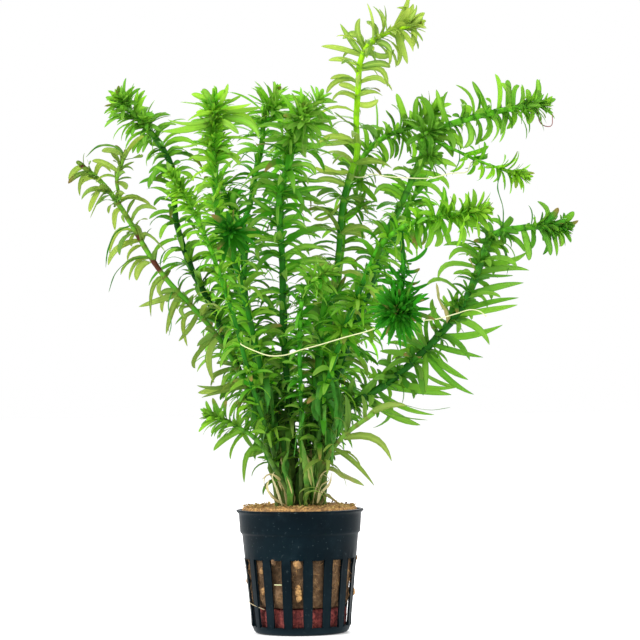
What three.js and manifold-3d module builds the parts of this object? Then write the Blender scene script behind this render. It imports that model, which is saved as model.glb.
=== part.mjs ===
// Brazilian waterweed (Egeria densa) planted in a plastic net pot.
// Millimetres, +Z up. The origin is on the pot's axis, on the face that the pot stands on.
// Seen along +Y the plant is as in the photograph, with +X to the right.
import * as THREE from "three";
import { ConvexGeometry } from "three/addons/geometries/ConvexGeometry.js";
import { mergeVertices } from "three/addons/utils/BufferGeometryUtils.js";
import Module from "manifold-3d";

const wasm = await Module();
wasm.setup();

// Net pot
const POT_HEIGHT = 50.2;
const LIP_RADIUS = 26;
const LIP_THICKNESS = 0.7;
const LIP_FLARE_HEIGHT = 1.6;
const COLLAR_RADIUS = 25;
const COLLAR_TAPER = 0.4;
const COLLAR_FOOT = 41;
const WALL = 0.7;
const FLOOR = 1.2;
const WALL_TOP_RADIUS = 23.8;
const WALL_FOOT_RADIUS = 20.1;
const WALL_FOOT = 2.6;
const FOOT_RADIUS = 17.9;
const EDGE = 0.6;
const SLOTS = 16;
const SLOT_HALF_ANGLE = THREE.MathUtils.degToRad(6.6);
const SLOT_BOTTOM = 3.2;
const SLOT_TOP = 30.5;
const FRONT_SLOT_ANGLE = THREE.MathUtils.degToRad(-93.3);
const FLOOR_SLOTS = 4;
const FLOOR_SLOT_WIDTH = 3;
const FLOOR_SLOT_INNER = 7;
const FLOOR_SLOT_OUTER = 15.5;

// Filling of the pot
const GAP = 0.3;
const PAD_RADIUS = 17.6;
const PAD_EDGE = 1.2;
const PAD_TOP = 10.5;
const WOOL_TOP = 51.5;
const WOOL_DOME_RADIUS = 17;
const CRUMB_SIZE = [1.5, 1.2, 0.6];
const CRUMBS = [[-17, -8, 2.4], [-11, -16, 1.8], [17, -8, 2.4], [18, 6, 2.2], [-16, 9, 2.2], [2, 20, 2.4]];

// Stems and blades
const STEM_SIDES = 4;
const STEM_STEP = 19;
const STEM_CORNER = 0.55;
const STEM_HOLE_GAP = 0.4;
const BLADE_WIDTH = 4.2;
const BLADE_LENGTHENING = 1.15;
const BLADE_ARCH = 1.4;
const BLADE_TIP_RADIUS = 0.3;
const WIDEST_AT = 0.42;

// How leaves stand. Near the growing tip they are short and close to the stem, and further back they
// are full-sized, open out and lean back. Lengths here are measured back from the tip.
const WHORL_LEAVES = 4;
const FIRST_WHORL = 3.4;
const CROWN_LENGTH = 10;
const YOUNG_LENGTH = 70;
const FULL_SIZE_LENGTH = 14;
const TIP_SIZE = 0.55;
const TIP_PITCH = 26;
const OPENING = 54;
const OPENING_LENGTH = 8;
const TIP_LEAN = 0.1;
const FURTHER_LEAN = 0.45;
const LEAN_LENGTH = 25;
const BACK_BEND = 0.7;
const DOWN_BEND = 0.3;

// How far leaves differ from each other, and where else a leaf is tried if its place is taken
const TURN_SPREAD = 0.3;
const PITCH_SPREAD = 16;
const SIZE_SPREAD = 0.3;
const TWIST_SPREAD = 1.8;
const TURNS_TRIED = [0, 0.35, -0.35, 0.6, -0.6];

// Stem routes run from the cut end in the wool to the growing tip. `leaf` gives the leaf length at the
// foot and at the tip, `gap` the spacing of the whorls there, and `bare` the leafless length at the foot.
// A shoot that is `cut` has lost its growing tip.
const SHOOTS = [
  { name: "shoot_far_left", cut: true, stem: 2.6, leaf: [13, 8], gap: [8, 6], bare: 34,
    route: [[-9, -3, 45], [-9.5, -3, 56], [-13, -4, 76], [-23, -6, 104], [-35, -8, 124], [-55, -10, 147],
      [-70, -12, 172], [-78, -12, 183], [-87, -12, 191]] },
  { name: "twig_far_left", cut: true, stem: 1.8, leaf: [9, 7], gap: [6, 5], bare: 2,
    route: [[-71, -14, 177], [-72, -17, 184], [-70, -18, 190], [-68, -19, 196]] },
  { name: "shoot_upper_left", stem: 3.2, leaf: [15, 12.5], gap: [6.5, 3.6], bare: 36,
    route: [[-8, 1.5, 45], [-8.5, 2, 56], [-14, 4, 82], [-21, 7, 99], [-36, 12, 134], [-44, 14, 150],
      [-50, 14, 170], [-51, 13, 190], [-57, 11, 202], [-64, 9, 210], [-73, 7, 219]] },
  { name: "shoot_left_front", stem: 2.6, leaf: [13, 9], gap: [6.5, 3.6], bare: 36,
    route: [[-6, -8, 45], [-6.5, -8.5, 56], [-11, -12, 76], [-18, -20, 99], [-26, -32, 131], [-35, -44, 158],
      [-42, -50, 173], [-49, -55, 184]] },
  { name: "shoot_left_tall", stem: 2.8, leaf: [15, 18], gap: [6.5, 4], bare: 40,
    route: [[-3.5, -4, 45], [-4, -4.5, 56], [-9, -7, 80], [-14, -12, 103], [-19, -18, 127], [-25, -24, 151],
      [-31, -28, 168], [-32, -30, 189], [-32, -32, 203], [-32, -34, 214]] },
  { name: "rosette_left", stem: 2.2, leaf: [9, 10], gap: [4.5, 3.2], bare: 3,
    route: [[-25.5, -27.5, 157], [-25, -34, 160], [-26, -46, 162]] },
  { name: "shoot_left_dark", stem: 2.8, leaf: [13, 9], gap: [6.5, 4], bare: 38,
    route: [[-3.5, 0.5, 45], [-4, 0.5, 56], [-9, 1, 84], [-15, 0, 103], [-19, -2, 120], [-22, -4, 140],
      [-21, -5, 156], [-23, -6, 166], [-28, -6, 177], [-33, -6, 188]] },
  { name: "shoot_middle_left", stem: 3, leaf: [15, 12.5], gap: [7, 4], bare: 40,
    route: [[-7, 6, 45], [-7.5, 6.5, 56], [-12, 10, 82], [-16, 14, 103], [-20, 17, 123], [-22, 18, 144],
      [-22, 18, 167], [-19, 18, 177], [-17, 17, 188], [-14, 16, 201], [-13, 15, 211], [-8, 13, 221]] },
  { name: "shoot_middle", stem: 3.4, leaf: [19, 12], gap: [7.5, 4.2], bare: 36,
    route: [[-1.5, 5, 45], [-1.5, 5, 56], [-2, 4.5, 74], [-4, 3, 95], [-6, 0, 125], [-6, -4, 152],
      [-7, -7, 174], [-6, -8, 181], [-2, -9, 193], [-1, -12, 203], [3, -19, 211]] },
  { name: "shoot_tallest", stem: 3, leaf: [16, 12], gap: [7.5, 5], bare: 44,
    route: [[3, 4.5, 45], [3.5, 4.5, 56], [10, 7, 94], [14, 9, 135], [17, 9, 154], [19, 8, 175], [22, 7, 186],
      [25, 6, 195], [25, 5, 209], [26, 4, 223], [27, 3, 233], [31, 2, 240], [40, 0, 245], [49, -2, 247]] },
  { name: "shoot_upper_right", stem: 3.4, leaf: [14, 10], gap: [6.5, 3.8], bare: 44,
    route: [[5.5, 0.5, 45], [6, 0, 56], [9, -0.5, 82], [15, -1, 103], [21, 0, 119], [28, 3, 135],
      [34, 5, 157], [43, 8, 174], [50, 10, 190], [55, 10, 201], [61, 9, 206], [78, 7, 211],
      [90, 5, 213], [102, 3, 214]] },
  { name: "branch_right_thin", stem: 1.8, leaf: [11, 9], gap: [6, 3.6], bare: 8,
    route: [[58, 7, 200], [66, 5, 196], [74, 4, 192], [84, 2, 188], [94, 0, 184]] },
  { name: "shoot_right_behind", stem: 2.8, leaf: [14, 10], gap: [6.5, 4], bare: 44,
    route: [[7.5, 5.5, 45], [8, 6.5, 56], [12, 14, 94], [16, 20, 135], [19, 24, 160], [20, 25, 176],
      [24, 25, 188], [30, 24, 198], [38, 23, 204], [50, 21, 208], [59, 19, 214]] },
  { name: "shoot_right_front", stem: 2.6, leaf: [13, 10], gap: [6.5, 3.6], bare: 36,
    route: [[4.5, -4, 45], [5, -4.5, 56], [7.5, -9, 76], [12, -18, 102], [25, -34, 138], [35, -43, 157],
      [47, -51, 164], [61, -56, 166], [74, -60, 167]] },
  { name: "rosette_right", stem: 2.2, leaf: [11, 13], gap: [4.5, 3.2], bare: 8,
    route: [[41.5, -47.5, 157], [42, -50, 147], [41, -56, 136], [39, -66, 128]] },
  { name: "shoot_lower_right", stem: 3.8, leaf: [19, 9], gap: [7.5, 4.2], bare: 44,
    route: [[9, -2.5, 45], [9.5, -3.5, 56], [11, -6, 76], [14, -8, 84], [21, -10, 92], [36, -12, 101],
      [49, -12, 112], [58, -11, 121], [67, -9, 132], [73, -7, 145], [77, -5, 156], [81, -4, 161],
      [88, -3, 163], [100, -3, 164], [110, -3, 163]] },
  { name: "shoot_low_right", cut: true, stem: 2.4, leaf: [15, 12], gap: [7, 5], bare: 20,
    route: [[7, -8, 45], [7.5, -9, 56], [9, -12, 66], [13, -16, 74], [19, -20, 81], [30, -25, 89]] },
  { name: "shoot_front", stem: 2.4, leaf: [12, 9], gap: [6.5, 3.8], bare: 34,
    route: [[0.5, -8.5, 45], [0.5, -9, 56], [1, -14, 86], [1, -26, 122], [3, -36, 137], [8, -42, 142],
      [13, -47, 145]] },
  { name: "stem_cut", cut: true, stem: 3.4, leaf: [13, 13], gap: [7.5, 7.5], bare: 36,
    route: [[1, 0, 45], [1.5, -0.5, 56], [3, -2, 74], [6, -4, 94], [8, -5, 107], [10, -6, 127],
      [12, -7, 137]] },
  { name: "shoot_low_left", stem: 2.4, leaf: [13, 9], gap: [7, 4], bare: 16,
    route: [[-3, -12.5, 45], [-4, -13, 56], [-9, -15, 66], [-17, -18, 79], [-26, -21, 85], [-36, -24, 89]] },
  { name: "shoot_back_left", stem: 2.8, leaf: [14, 10], gap: [6.5, 4], bare: 38,
    route: [[-9, 10.5, 45], [-9.5, 11, 56], [-15, 19, 90], [-23, 31, 128], [-30, 41, 158], [-34, 46, 179]] },
  { name: "shoot_back_tall", stem: 3, leaf: [15, 10], gap: [7, 4], bare: 40,
    route: [[-3.5, 10, 45], [-3.5, 10.5, 56], [-5, 21, 94], [-6, 36, 140], [-7, 46, 172], [-5, 52, 193],
      [-3, 58, 205]] },
  { name: "shoot_back_middle", stem: 2.6, leaf: [14, 10], gap: [6.5, 4], bare: 34,
    route: [[1.5, 9.5, 45], [2, 10, 56], [5, 20, 90], [8, 38, 124], [11, 55, 150]] },
  { name: "shoot_back_right", stem: 3, leaf: [14, 10], gap: [6.5, 4], bare: 40,
    route: [[6.5, 10.5, 45], [7, 11, 56], [14, 23, 94], [28, 37, 135], [42, 47, 165], [54, 54, 188]] },
  { name: "shoot_back_low_left", stem: 2.6, leaf: [14, 10], gap: [6.5, 4], bare: 28,
    route: [[-6, 14.5, 45], [-6.5, 15, 56], [-13, 27, 86], [-25, 45, 114], [-38, 60, 138]] },
  { name: "shoot_back_low", stem: 2.4, leaf: [13, 9], gap: [6.5, 4], bare: 22,
    route: [[-1, 14.5, 45], [-1, 15.5, 56], [-3, 28, 78], [-7, 45, 97], [-11, 60, 111]] },
  { name: "shoot_back_low_right", stem: 2.6, leaf: [14, 10], gap: [6.5, 4], bare: 28,
    route: [[4, 14.5, 45], [4.5, 15.5, 56], [10, 29, 84], [21, 49, 112], [34, 66, 136]] },
];

const POT_PLASTIC = new THREE.MeshStandardMaterial({ color: "#17262b", roughness: 0.42, metalness: 0 });
const RED_FIBRE = new THREE.MeshStandardMaterial({ color: "#7d2a22", roughness: 0.9, metalness: 0 });
const WOOL = new THREE.MeshStandardMaterial({ color: "#b5854b", roughness: 0.95, metalness: 0 });
const LEAF_GREEN = new THREE.MeshStandardMaterial({ color: "#4f9a2c", roughness: 0.5, metalness: 0 });

// A closed three.js geometry as a solid that can be joined and cut.
function solid(geometry) {
  const plain = geometry.clone();
  plain.deleteAttribute("normal");
  plain.deleteAttribute("uv");
  const merged = mergeVertices(plain, 1e-4);
  return new wasm.Manifold(new wasm.Mesh({
    numProp: 3,
    vertProperties: merged.attributes.position.array,
    triVerts: new Uint32Array(merged.index.array),
  }));
}

function meshOf(shape, name, finish) {
  const { vertProperties, triVerts } = shape.getMesh();
  const geometry = new THREE.BufferGeometry();
  geometry.setAttribute("position", new THREE.BufferAttribute(vertProperties, 3));
  geometry.setIndex(new THREE.BufferAttribute(triVerts, 1));
  geometry.computeVertexNormals();
  const mesh = new THREE.Mesh(geometry, finish);
  mesh.name = name;
  return mesh;
}

// LatheGeometry turns about Y, so its solid is stood up with Y as +Z.
function turned(profile, segments) {
  const points = profile.map(([radius, height]) => new THREE.Vector2(radius, height));
  return new THREE.LatheGeometry(points, segments).rotateX(Math.PI / 2);
}

function wallRadius(z) {
  return THREE.MathUtils.mapLinear(z, WALL_FOOT, COLLAR_FOOT, WALL_FOOT_RADIUS, WALL_TOP_RADIUS);
}

// The pot is one moulding: a tapered wall with a wider collar, a flared lip, upright slots, a slotted floor.
function netPot() {
  const segments = 2 * SLOTS;
  const collarFootRadius = COLLAR_RADIUS - COLLAR_TAPER;
  const profile = [
    [0, 0],
    [FOOT_RADIUS, 0],
    [WALL_FOOT_RADIUS - EDGE, EDGE],
    [WALL_FOOT_RADIUS, WALL_FOOT],
    [WALL_TOP_RADIUS, COLLAR_FOOT - EDGE],
    [collarFootRadius, COLLAR_FOOT],
    [COLLAR_RADIUS, POT_HEIGHT - LIP_FLARE_HEIGHT],
    [LIP_RADIUS, POT_HEIGHT - LIP_THICKNESS],
    [LIP_RADIUS, POT_HEIGHT],
    [COLLAR_RADIUS - WALL, POT_HEIGHT],
    [collarFootRadius - WALL, COLLAR_FOOT + EDGE],
    [WALL_TOP_RADIUS - WALL, COLLAR_FOOT],
    [WALL_FOOT_RADIUS - WALL, WALL_FOOT + EDGE],
    [FOOT_RADIUS - EDGE, FLOOR],
    [0, FLOOR],
  ];
  const wallTurn = FRONT_SLOT_ANGLE + Math.PI / 2 + Math.PI / segments;
  let pot = solid(turned(profile, segments).rotateZ(wallTurn));
  const inside = WALL_FOOT_RADIUS / 2;
  const outside = 1.5 * WALL_TOP_RADIUS;
  const slope = Math.tan(SLOT_HALF_ANGLE);
  const wedge = new THREE.Shape([
    new THREE.Vector2(inside, -inside * slope),
    new THREE.Vector2(outside, -outside * slope),
    new THREE.Vector2(outside, outside * slope),
    new THREE.Vector2(inside, inside * slope),
  ]);
  for (let i = 0; i < SLOTS; i++) {
    const cutter = new THREE.ExtrudeGeometry(wedge, { depth: SLOT_TOP - SLOT_BOTTOM, bevelEnabled: false });
    cutter.translate(0, 0, SLOT_BOTTOM).rotateZ(FRONT_SLOT_ANGLE + (i * 2 * Math.PI) / SLOTS);
    pot = pot.subtract(solid(cutter));
  }
  for (let i = 0; i < FLOOR_SLOTS; i++) {
    const angle = FRONT_SLOT_ANGLE + (i * 2 * Math.PI) / FLOOR_SLOTS;
    const cutter = new THREE.BoxGeometry(FLOOR_SLOT_OUTER - FLOOR_SLOT_INNER, FLOOR_SLOT_WIDTH, 4 * FLOOR);
    cutter.translate((FLOOR_SLOT_OUTER + FLOOR_SLOT_INNER) / 2, 0, 0).rotateZ(angle);
    pot = pot.subtract(solid(cutter));
  }
  return meshOf(pot, "net_pot", POT_PLASTIC);
}

// A loose red fibre disc lies on the pot's floor, under the wool.
function redPad() {
  const profile = [
    [0, FLOOR + GAP],
    [PAD_RADIUS - PAD_EDGE, FLOOR + GAP],
    [PAD_RADIUS, FLOOR + 2 * PAD_EDGE],
    [PAD_RADIUS, PAD_TOP - PAD_EDGE],
    [PAD_RADIUS - PAD_EDGE, PAD_TOP],
    [0, PAD_TOP],
  ];
  return meshOf(solid(turned(profile, 18)), "red_pad", RED_FIBRE);
}

// The wool plug fills the pot to just above the rim. It is pushed in round the stems, crumbly on top.
function woolPlug() {
  const clearance = WALL + 2 * GAP;
  const collarInside = COLLAR_RADIUS - COLLAR_TAPER - clearance;
  const profile = [
    [0, PAD_TOP + GAP],
    [wallRadius(PAD_TOP) - clearance, PAD_TOP + GAP],
    [wallRadius(COLLAR_FOOT) - clearance, COLLAR_FOOT],
    [collarInside, COLLAR_FOOT + 3 * EDGE],
    [collarInside - EDGE, WOOL_TOP - EDGE],
    [WOOL_DOME_RADIUS, WOOL_TOP],
    [0, WOOL_TOP],
  ];
  let wool = solid(turned(profile, 16));
  for (const [x, y, radius] of CRUMBS) {
    const crumb = new THREE.OctahedronGeometry(radius);
    crumb.scale(...CRUMB_SIZE).rotateZ(x + y).translate(x, y, WOOL_TOP - GAP);
    wool = wool.add(solid(crumb));
  }
  for (const shoot of SHOOTS.filter(isPlanted)) {
    wool = wool.subtract(stemHole(shoot));
  }
  return meshOf(wool, "wool_plug", WOOL);
}

// Branches grow out of other shoots, so only some shoots stand in the wool.
function isPlanted(shoot) {
  return shoot.route[0][2] < WOOL_TOP;
}

// The stem's centre line as the straight lengths that its solid has, with their frames.
function centreLine(shoot) {
  const curve = new THREE.CatmullRomCurve3(shoot.route.map((point) => new THREE.Vector3(...point)));
  curve.arcLengthDivisions = 400;
  const length = curve.getLength();
  const steps = Math.max(3, Math.round(length / STEM_STEP));
  const points = curve.getSpacedPoints(steps);
  const frames = curve.computeFrenetFrames(steps, false);
  return { curve, length, steps, points, frames };
}

// A regular polygon with a corner at each half step, so that its flats face the frame's axes.
function stemSection(radius) {
  const corners = [];
  for (let i = 0; i < STEM_SIDES; i++) {
    const angle = ((i + 0.5) * 2 * Math.PI) / STEM_SIDES;
    corners.push(new THREE.Vector2(radius * Math.cos(angle), radius * Math.sin(angle)));
  }
  return new THREE.Shape(corners);
}

function cornerRadius(shoot) {
  return STEM_CORNER * shoot.stem;
}

// The stem is one square rod, swept along its route.
function stemSolid(shoot) {
  const { curve, steps } = centreLine(shoot);
  const sweep = { steps, extrudePath: curve, bevelEnabled: false };
  return solid(new THREE.ExtrudeGeometry(stemSection(cornerRadius(shoot)), sweep));
}

// The hole that the stem's cut end stands in: the same section, wider all round and a little deeper.
function stemHole(shoot) {
  const [foot, next] = centreLine(shoot).points;
  const run = next.clone().sub(foot).normalize();
  const path = new THREE.LineCurve3(foot.clone().addScaledVector(run, -1), next);
  const radius = cornerRadius(shoot) + STEM_HOLE_GAP * Math.SQRT2;
  const sweep = { steps: 1, extrudePath: path, bevelEnabled: false };
  return solid(new THREE.ExtrudeGeometry(stemSection(radius), sweep));
}

// The same number between 0 and 1 for the same leaf, every time.
function chance(key) {
  const value = Math.sin(key * 12.9898 + 4.1414) * 43758.5453;
  return value - Math.floor(value);
}

// A blade stands for a leaf and those beside it: a diamond from above, with a keel on the side it bends to.
function leafSolid({ root, tip, bend }) {
  const chord = tip.clone().sub(root);
  const across = chord.clone().cross(bend).normalize().multiplyScalar(BLADE_WIDTH / 2);
  const crown = root.clone().addScaledVector(chord, WIDEST_AT).addScaledVector(bend, -BLADE_ARCH);
  return solid(new ConvexGeometry([root, tip, crown.clone().add(across), crown.clone().sub(across)]));
}

// Round points that stand for all that is placed so far, which keep the leaves of one shoot off another.
const taken = [];

function isClear(points, owner) {
  return points.every(([at, radius]) => taken.every(([other, otherRadius, itsOwner]) => (
    itsOwner === owner || at.distanceTo(other) > radius + otherRadius + GAP
  )));
}

// The room that a blade takes, as round points every millimetre along it, outside its own stem.
function bladeRoom({ root, tip, bend }, stemWidth) {
  const room = [];
  const length = root.distanceTo(tip);
  for (let along = stemWidth; along <= length; along += 1) {
    const t = along / length;
    const fullness = t < WIDEST_AT ? t / WIDEST_AT : (1 - t) / (1 - WIDEST_AT);
    const middle = root.clone().lerp(tip, t).addScaledVector(bend, (-BLADE_ARCH * fullness) / 2);
    room.push([middle, BLADE_TIP_RADIUS + (BLADE_WIDTH / 2) * fullness]);
  }
  return room;
}

// The stem's axis and two directions across it, at a length back from the tip.
function stemFrame({ length, steps, points, frames }, back) {
  const along = ((length - back) / length) * steps;
  const step = Math.floor(along);
  const between = (list) => list[step].clone().lerp(list[step + 1], along - step);
  return {
    at: between(points),
    tangent: between(frames.tangents).normalize(),
    normal: between(frames.normals).normalize(),
    binormal: between(frames.binormals).normalize(),
  };
}

// Where the leaves of a shoot grow: whorls of four, close together at the tip, each turned against the last.
function leafPlaces(shoot, number) {
  const line = centreLine(shoot);
  const places = [];
  let back = FIRST_WHORL;
  for (let whorl = 0; back < line.length - shoot.bare; whorl++) {
    const age = Math.min(1, back / YOUNG_LENGTH);
    const fullSize = THREE.MathUtils.lerp(shoot.leaf[1], shoot.leaf[0], age);
    const grown = fullSize * Math.min(1, TIP_SIZE + back / FULL_SIZE_LENGTH);
    const opened = TIP_PITCH + OPENING * (1 - Math.exp(-back / OPENING_LENGTH));
    for (let leaf = 0; leaf < WHORL_LEAVES; leaf++) {
      const key = number * 1000 + whorl * 10 + leaf;
      places.push({
        ...stemFrame(line, back),
        whorl,
        leaf,
        back,
        turn: ((leaf + (whorl % 2) / 2) * 2 * Math.PI) / WHORL_LEAVES + TURN_SPREAD * (chance(key) - 0.5),
        pitch: THREE.MathUtils.degToRad(opened + PITCH_SPREAD * (chance(key + 0.3) - 0.5)),
        twist: TWIST_SPREAD * (chance(key + 0.8) - 0.5),
        size: grown * (1 + SIZE_SPREAD * (chance(key + 0.6) - 0.5)),
      });
    }
    back += THREE.MathUtils.lerp(shoot.gap[1], shoot.gap[0], age);
  }
  return places;
}

// The leaf's chord leaves the stem at its pitch and leans back along the stem and down.
function leafEnds({ at, tangent, normal, binormal, back, pitch, twist, size }, turn) {
  const side = normal.clone().multiplyScalar(Math.cos(turn)).addScaledVector(binormal, Math.sin(turn));
  const down = new THREE.Vector3(0, 0, -DOWN_BEND);
  const bend = tangent.clone().multiplyScalar(-BACK_BEND).add(down).normalize();
  const lean = TIP_LEAN + FURTHER_LEAN * Math.min(1, back / LEAN_LENGTH);
  const start = tangent.clone().multiplyScalar(Math.cos(pitch)).addScaledVector(side, Math.sin(pitch));
  const chord = start.addScaledVector(bend, lean).normalize();
  const across = chord.clone().cross(bend).normalize().applyAxisAngle(chord, twist);
  const tip = at.clone().addScaledVector(chord, size * BLADE_LENGTHENING);
  return { root: at.clone(), tip, bend: across.cross(chord) };
}

// Which leaves the solid shows: all of them at a growing tip, and then pairs that stand crosswise.
function isShown({ whorl, leaf, back }, shoot) {
  if (whorl % 2 === 1) {
    return false;
  }
  const inCrown = back < CROWN_LENGTH && !shoot.cut;
  return inCrown || ((leaf + whorl / 2) % 2 === 0 && whorl % 8 !== 6);
}

// A shoot is its stem with its blades joined on. A blade with no free place near its own is left out.
function leafyShoot(shoot, number) {
  let body = stemSolid(shoot);
  for (const place of leafPlaces(shoot, number).filter((each) => isShown(each, shoot))) {
    const tries = TURNS_TRIED.map((shift) => leafEnds(place, place.turn + shift));
    const ends = tries.find((each) => isClear(bladeRoom(each, shoot.stem), number));
    if (ends) {
      body = body.add(leafSolid(ends));
      bladeRoom(ends, shoot.stem).forEach(([at, radius]) => taken.push([at, radius, number]));
    }
  }
  return meshOf(body, shoot.name, LEAF_GREEN);
}

SHOOTS.forEach((shoot, number) => {
  const { curve, length } = centreLine(shoot);
  for (const point of curve.getSpacedPoints(Math.round(length))) {
    taken.push([point, cornerRadius(shoot), number]);
  }
});

const plant = new THREE.Group();
plant.add(netPot(), redPad(), woolPlug(), ...SHOOTS.map(leafyShoot));

export default plant;
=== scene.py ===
import math

import bpy
import numpy as np
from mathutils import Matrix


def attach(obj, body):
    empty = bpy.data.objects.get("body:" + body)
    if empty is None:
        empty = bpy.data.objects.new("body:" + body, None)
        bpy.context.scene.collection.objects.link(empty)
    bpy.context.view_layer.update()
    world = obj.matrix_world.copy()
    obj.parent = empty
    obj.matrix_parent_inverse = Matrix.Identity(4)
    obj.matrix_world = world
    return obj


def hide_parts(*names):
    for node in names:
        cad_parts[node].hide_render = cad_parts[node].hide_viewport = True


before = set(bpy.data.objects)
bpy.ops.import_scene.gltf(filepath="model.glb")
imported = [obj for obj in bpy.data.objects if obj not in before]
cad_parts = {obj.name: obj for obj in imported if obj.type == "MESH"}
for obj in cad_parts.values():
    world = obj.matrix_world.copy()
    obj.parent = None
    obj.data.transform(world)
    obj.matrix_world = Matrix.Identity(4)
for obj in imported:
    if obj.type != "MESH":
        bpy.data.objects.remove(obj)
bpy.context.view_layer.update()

# The view and the studio: a long lens a little over a metre away, tipped up and rolled by about a
# degree. A white floor lies under white light from all round, and three soft lamps light the plant.
MM = 0.001
VIEW_DISTANCE = 1.15
VIEW_HEIGHT = 0.105
VIEW_SIDE = 0.0091
VIEW_TIP = math.radians(1.1)
VIEW_ROLL = math.radians(-0.7)
LENS = 158.5
SKY_STRENGTH = 1.0
FLOOR_GLOW = 0.16
LAMP_TARGET = (0, 0, 0.13)
# Each lamp's name, place, width and power.
LAMPS = (
    ("lamp_left", (-0.8, -0.55, 0.75), 0.5, 13.0),
    ("lamp_right", (0.85, -0.35, 0.45), 0.4, 3.0),
    ("lamp_behind", (0.1, 0.9, 0.75), 0.6, 12.0),
)


def aim(thing, target):
    """Turns a lamp's or a camera's -Z towards a point."""
    away = np.array(thing.location) - np.array(target)
    flat = math.hypot(away[0], away[1])
    thing.rotation_euler = (math.atan2(flat, away[2]), 0, math.atan2(away[0], -away[1]))


camera = bpy.data.objects.new("camera", bpy.data.cameras.new("camera"))
camera.data.lens = LENS
camera.data.sensor_width = 36
camera.data.clip_end = 30
camera.location = (VIEW_SIDE, -VIEW_DISTANCE, VIEW_HEIGHT)
camera.rotation_mode = "ZXY"
camera.rotation_euler = (math.pi / 2 + VIEW_TIP, 0, VIEW_ROLL)
bpy.context.scene.collection.objects.link(camera)
bpy.context.scene.camera = camera
bpy.context.scene.view_settings.view_transform = "Standard"

sky = bpy.data.worlds.new("white_room")
sky.use_nodes = True
background = sky.node_tree.nodes["Background"]
background.inputs["Color"].default_value = (1, 1, 1, 1)
background.inputs["Strength"].default_value = SKY_STRENGTH
bpy.context.scene.world = sky

for lamp_name, place, lamp_size, power in LAMPS:
    lamp = bpy.data.objects.new(lamp_name, bpy.data.lights.new(lamp_name, "AREA"))
    lamp.data.shape = "DISK"
    lamp.data.size = lamp_size
    lamp.data.energy = power
    lamp.location = place
    aim(lamp, LAMP_TARGET)
    bpy.context.scene.collection.objects.link(lamp)

bpy.ops.mesh.primitive_circle_add(vertices=96, radius=6, fill_type="NGON")
floor = bpy.context.object
floor.name = "floor"
floor_finish = bpy.data.materials.new("pale_floor")
floor_finish.use_nodes = True
floor_surface = floor_finish.node_tree.nodes["Principled BSDF"]
floor_surface.inputs["Base Color"].default_value = (0.86, 0.86, 0.86, 1)
floor_surface.inputs["Roughness"].default_value = 0.9
floor_surface.inputs["Emission Color"].default_value = (1, 1, 1, 1)
floor_surface.inputs["Emission Strength"].default_value = FLOOR_GLOW
floor.data.materials.append(floor_finish)

# The net pot: one injection moulding in dark blue-green plastic. A tapered wall with 16 upright slots
# carries a wider collar and a thin flared lip, and the floor has four slots of its own.
POT_SLOTS = 16
POT_PITCH = math.tau / POT_SLOTS
FRONT_SLOT = math.radians(-93.3)
SLOT_HALF = math.radians(6.6)
SLOT_LOW = 3.2 * MM
SLOT_HIGH = 30.5 * MM
SLOT_COLUMNS = 5
POT_WALL = 0.7 * MM
WALL_HEIGHTS = (2.6 * MM, 41 * MM)
WALL_RADII = (20.1 * MM, 23.8 * MM)
POT_FLOOR = 1.2 * MM
FLOOR_SLOT_RADII = (7 * MM, 15.5 * MM)
FLOOR_SLOT_EVERY = 4
HUB_RADII = (0.6 * MM, 3.5 * MM)
# Corners of the pot's profile as (radius, height) in millimetres: the rounded edge of its foot, the collar
# and the lip from outside to inside, and the rounded edge of its floor inside.
FOOT_EDGE = ((16.9, 0), (17.9, 0.1), (18.8, 0.5), (19.4, 1.2), (19.75, 2.2))
COLLAR_AND_LIP = (
    (23.2, 35), (23.65, 39.6), (23.75, 40.1), (24.0, 40.5), (24.4, 40.85), (24.55, 41.3), (24.6, 42),
    (24.95, 47.9), (25.05, 48.6), (25.4, 48.95), (25.85, 49.4), (26, 49.75), (25.9, 50.1), (25.6, 50.2),
    (24.6, 50.2), (24.35, 50), (24.25, 49.5), (23.9, 42), (23.7, 41.3), (23.3, 40.7), (22.95, 39.8),
    (22.5, 35))
FLOOR_EDGE = ((19.0, 2.5), (18.4, 1.7), (17.5, 1.3), (16.4, 1.2))
DARK_PLASTIC = (0.0003, 0.0035, 0.0060)
LIGHT_PLASTIC = (0.0013, 0.0071, 0.0108)
# The colour of the pale dust haze, and of the painted light low on the wall.
HAZE_AND_FLOOR_LIT_PLASTIC = (0.0095, 0.021, 0.028)
DUST = (0.055, 0.075, 0.08)


class Value:
    """A node's output. Arithmetic on it adds Math nodes."""

    def __init__(self, finish, socket):
        self.finish = finish
        self.socket = socket

    def math(self, operation, first, second=0.0):
        """One Math node."""
        return self.finish.node("ShaderNodeMath", {"operation": operation}, {0: first, 1: second})

    def __add__(self, other):
        return self.math("ADD", self, other)

    def __sub__(self, other):
        return self.math("SUBTRACT", self, other)

    def __rsub__(self, other):
        return self.math("SUBTRACT", other, self)

    def __mul__(self, other):
        return self.math("MULTIPLY", self, other)

    __radd__ = __add__
    __rmul__ = __mul__


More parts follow.
